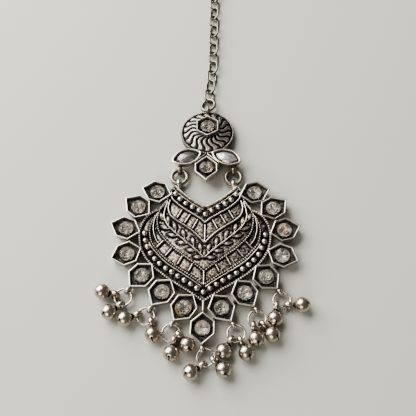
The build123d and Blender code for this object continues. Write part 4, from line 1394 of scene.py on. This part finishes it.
class JEWEL_OT_stage(bpy.types.Operator):
    """Put the camera, the floor and the soft lights in place"""
    bl_idname = "jewel.stage"
    bl_label = "Stage"

    def execute(self, context):
        look = context.scene.jewel_stage
        azimuth, roll = math.radians(VIEW_AZIMUTH), math.radians(VIEW_ROLL)
        back = Vector((math.cos(look.elevation) * math.sin(azimuth),
                       -math.cos(look.elevation) * math.cos(azimuth), math.sin(look.elevation)))
        aim = PLATE_PLACE + Vector((*VIEW_AIM, PLATE_HEIGHT)) * MM
        right = Vector((math.cos(azimuth), math.sin(azimuth), 0))
        up = back.cross(right)
        across_view = math.cos(roll) * right + math.sin(roll) * up
        up_view = -math.sin(roll) * right + math.cos(roll) * up
        data = bpy.data.cameras.new("camera")
        data.sensor_width = 36.0
        data.lens = VIEW_LENS
        data.clip_start, data.clip_end = 0.005, 10.0
        camera = bpy.data.objects.new("camera", data)
        camera.matrix_world = Matrix((
            (across_view.x, up_view.x, back.x, 0), (across_view.y, up_view.y, back.y, 0),
            (across_view.z, up_view.z, back.z, 0), (0, 0, 0, 1)))
        camera.matrix_world.translation = aim + back * look.distance
        context.scene.collection.objects.link(camera)
        context.scene.camera = camera
        mesh = bpy.data.meshes.new("floor")
        corners = [(x * FLOOR_HALF, y * FLOOR_HALF, 0) for x, y in ((-1, -1), (1, -1), (1, 1), (-1, 1))]
        mesh.from_pydata(corners, [], [(0, 1, 2, 3)])
        mesh.materials.append(floor_material(look.floor))
        floor = bpy.data.objects.new("floor", mesh)
        context.scene.collection.objects.link(floor)
        world = bpy.data.worlds.new("soft studio")
        world.use_nodes = True
        sky = world.node_tree.nodes["Background"].inputs
        sky["Color"].default_value = (1.0, 0.97, 0.93, 1.0)
        sky["Strength"].default_value = 0.165
        context.scene.world = world
        context.scene.view_settings.look = "AgX - High Contrast"
        soft_light("window", (-0.4, 0.32, 0.37), 0.72, 10.2, (1.0, 0.985, 0.955))
        soft_light("fill", (-0.25, -0.55, 0.4), 0.4, 1.5, (1.0, 0.97, 0.93))
        return {"FINISHED"}


# ------------------------------------------------------------- the add-on
STEPS = (JEWEL_OT_stage, JEWEL_OT_crescent, JEWEL_OT_top_casting, JEWEL_OT_stones, JEWEL_OT_rings,
         JEWEL_OT_bells, JEWEL_OT_chain)


class JEWEL_PT_sidebar(bpy.types.Panel):
    """Lists the settings and every step, in order"""
    bl_idname = "JEWEL_PT_sidebar"
    bl_label = "Forehead jewel"
    bl_space_type = "VIEW_3D"
    bl_region_type = "UI"
    bl_category = "Jewel"

    def draw(self, context):
        for settings in (context.scene.jewel_plate, context.scene.jewel_stage):
            for name in settings.bl_rna.properties.keys():
                if name not in ("rna_type", "name"):
                    self.layout.prop(settings, name)
        for step in STEPS:
            self.layout.operator(step.bl_idname)


CLASSES = (PlateSettings, StageSettings) + STEPS + (JEWEL_PT_sidebar,)


def register():
    """Adds the settings, the steps and the panel."""
    for item in CLASSES:
        bpy.utils.register_class(item)
    bpy.types.Scene.jewel_plate = bpy.props.PointerProperty(type=PlateSettings)
    bpy.types.Scene.jewel_stage = bpy.props.PointerProperty(type=StageSettings)


def unregister():
    """Takes them out again."""
    del bpy.types.Scene.jewel_stage
    del bpy.types.Scene.jewel_plate
    for item in reversed(CLASSES):
        bpy.utils.unregister_class(item)


def main():
    """Makes the whole jewel."""
    register()
    for step in STEPS:
        group, name = step.bl_idname.split(".")
        getattr(getattr(bpy.ops, group), name)()


if __name__ == "__main__":
    main()
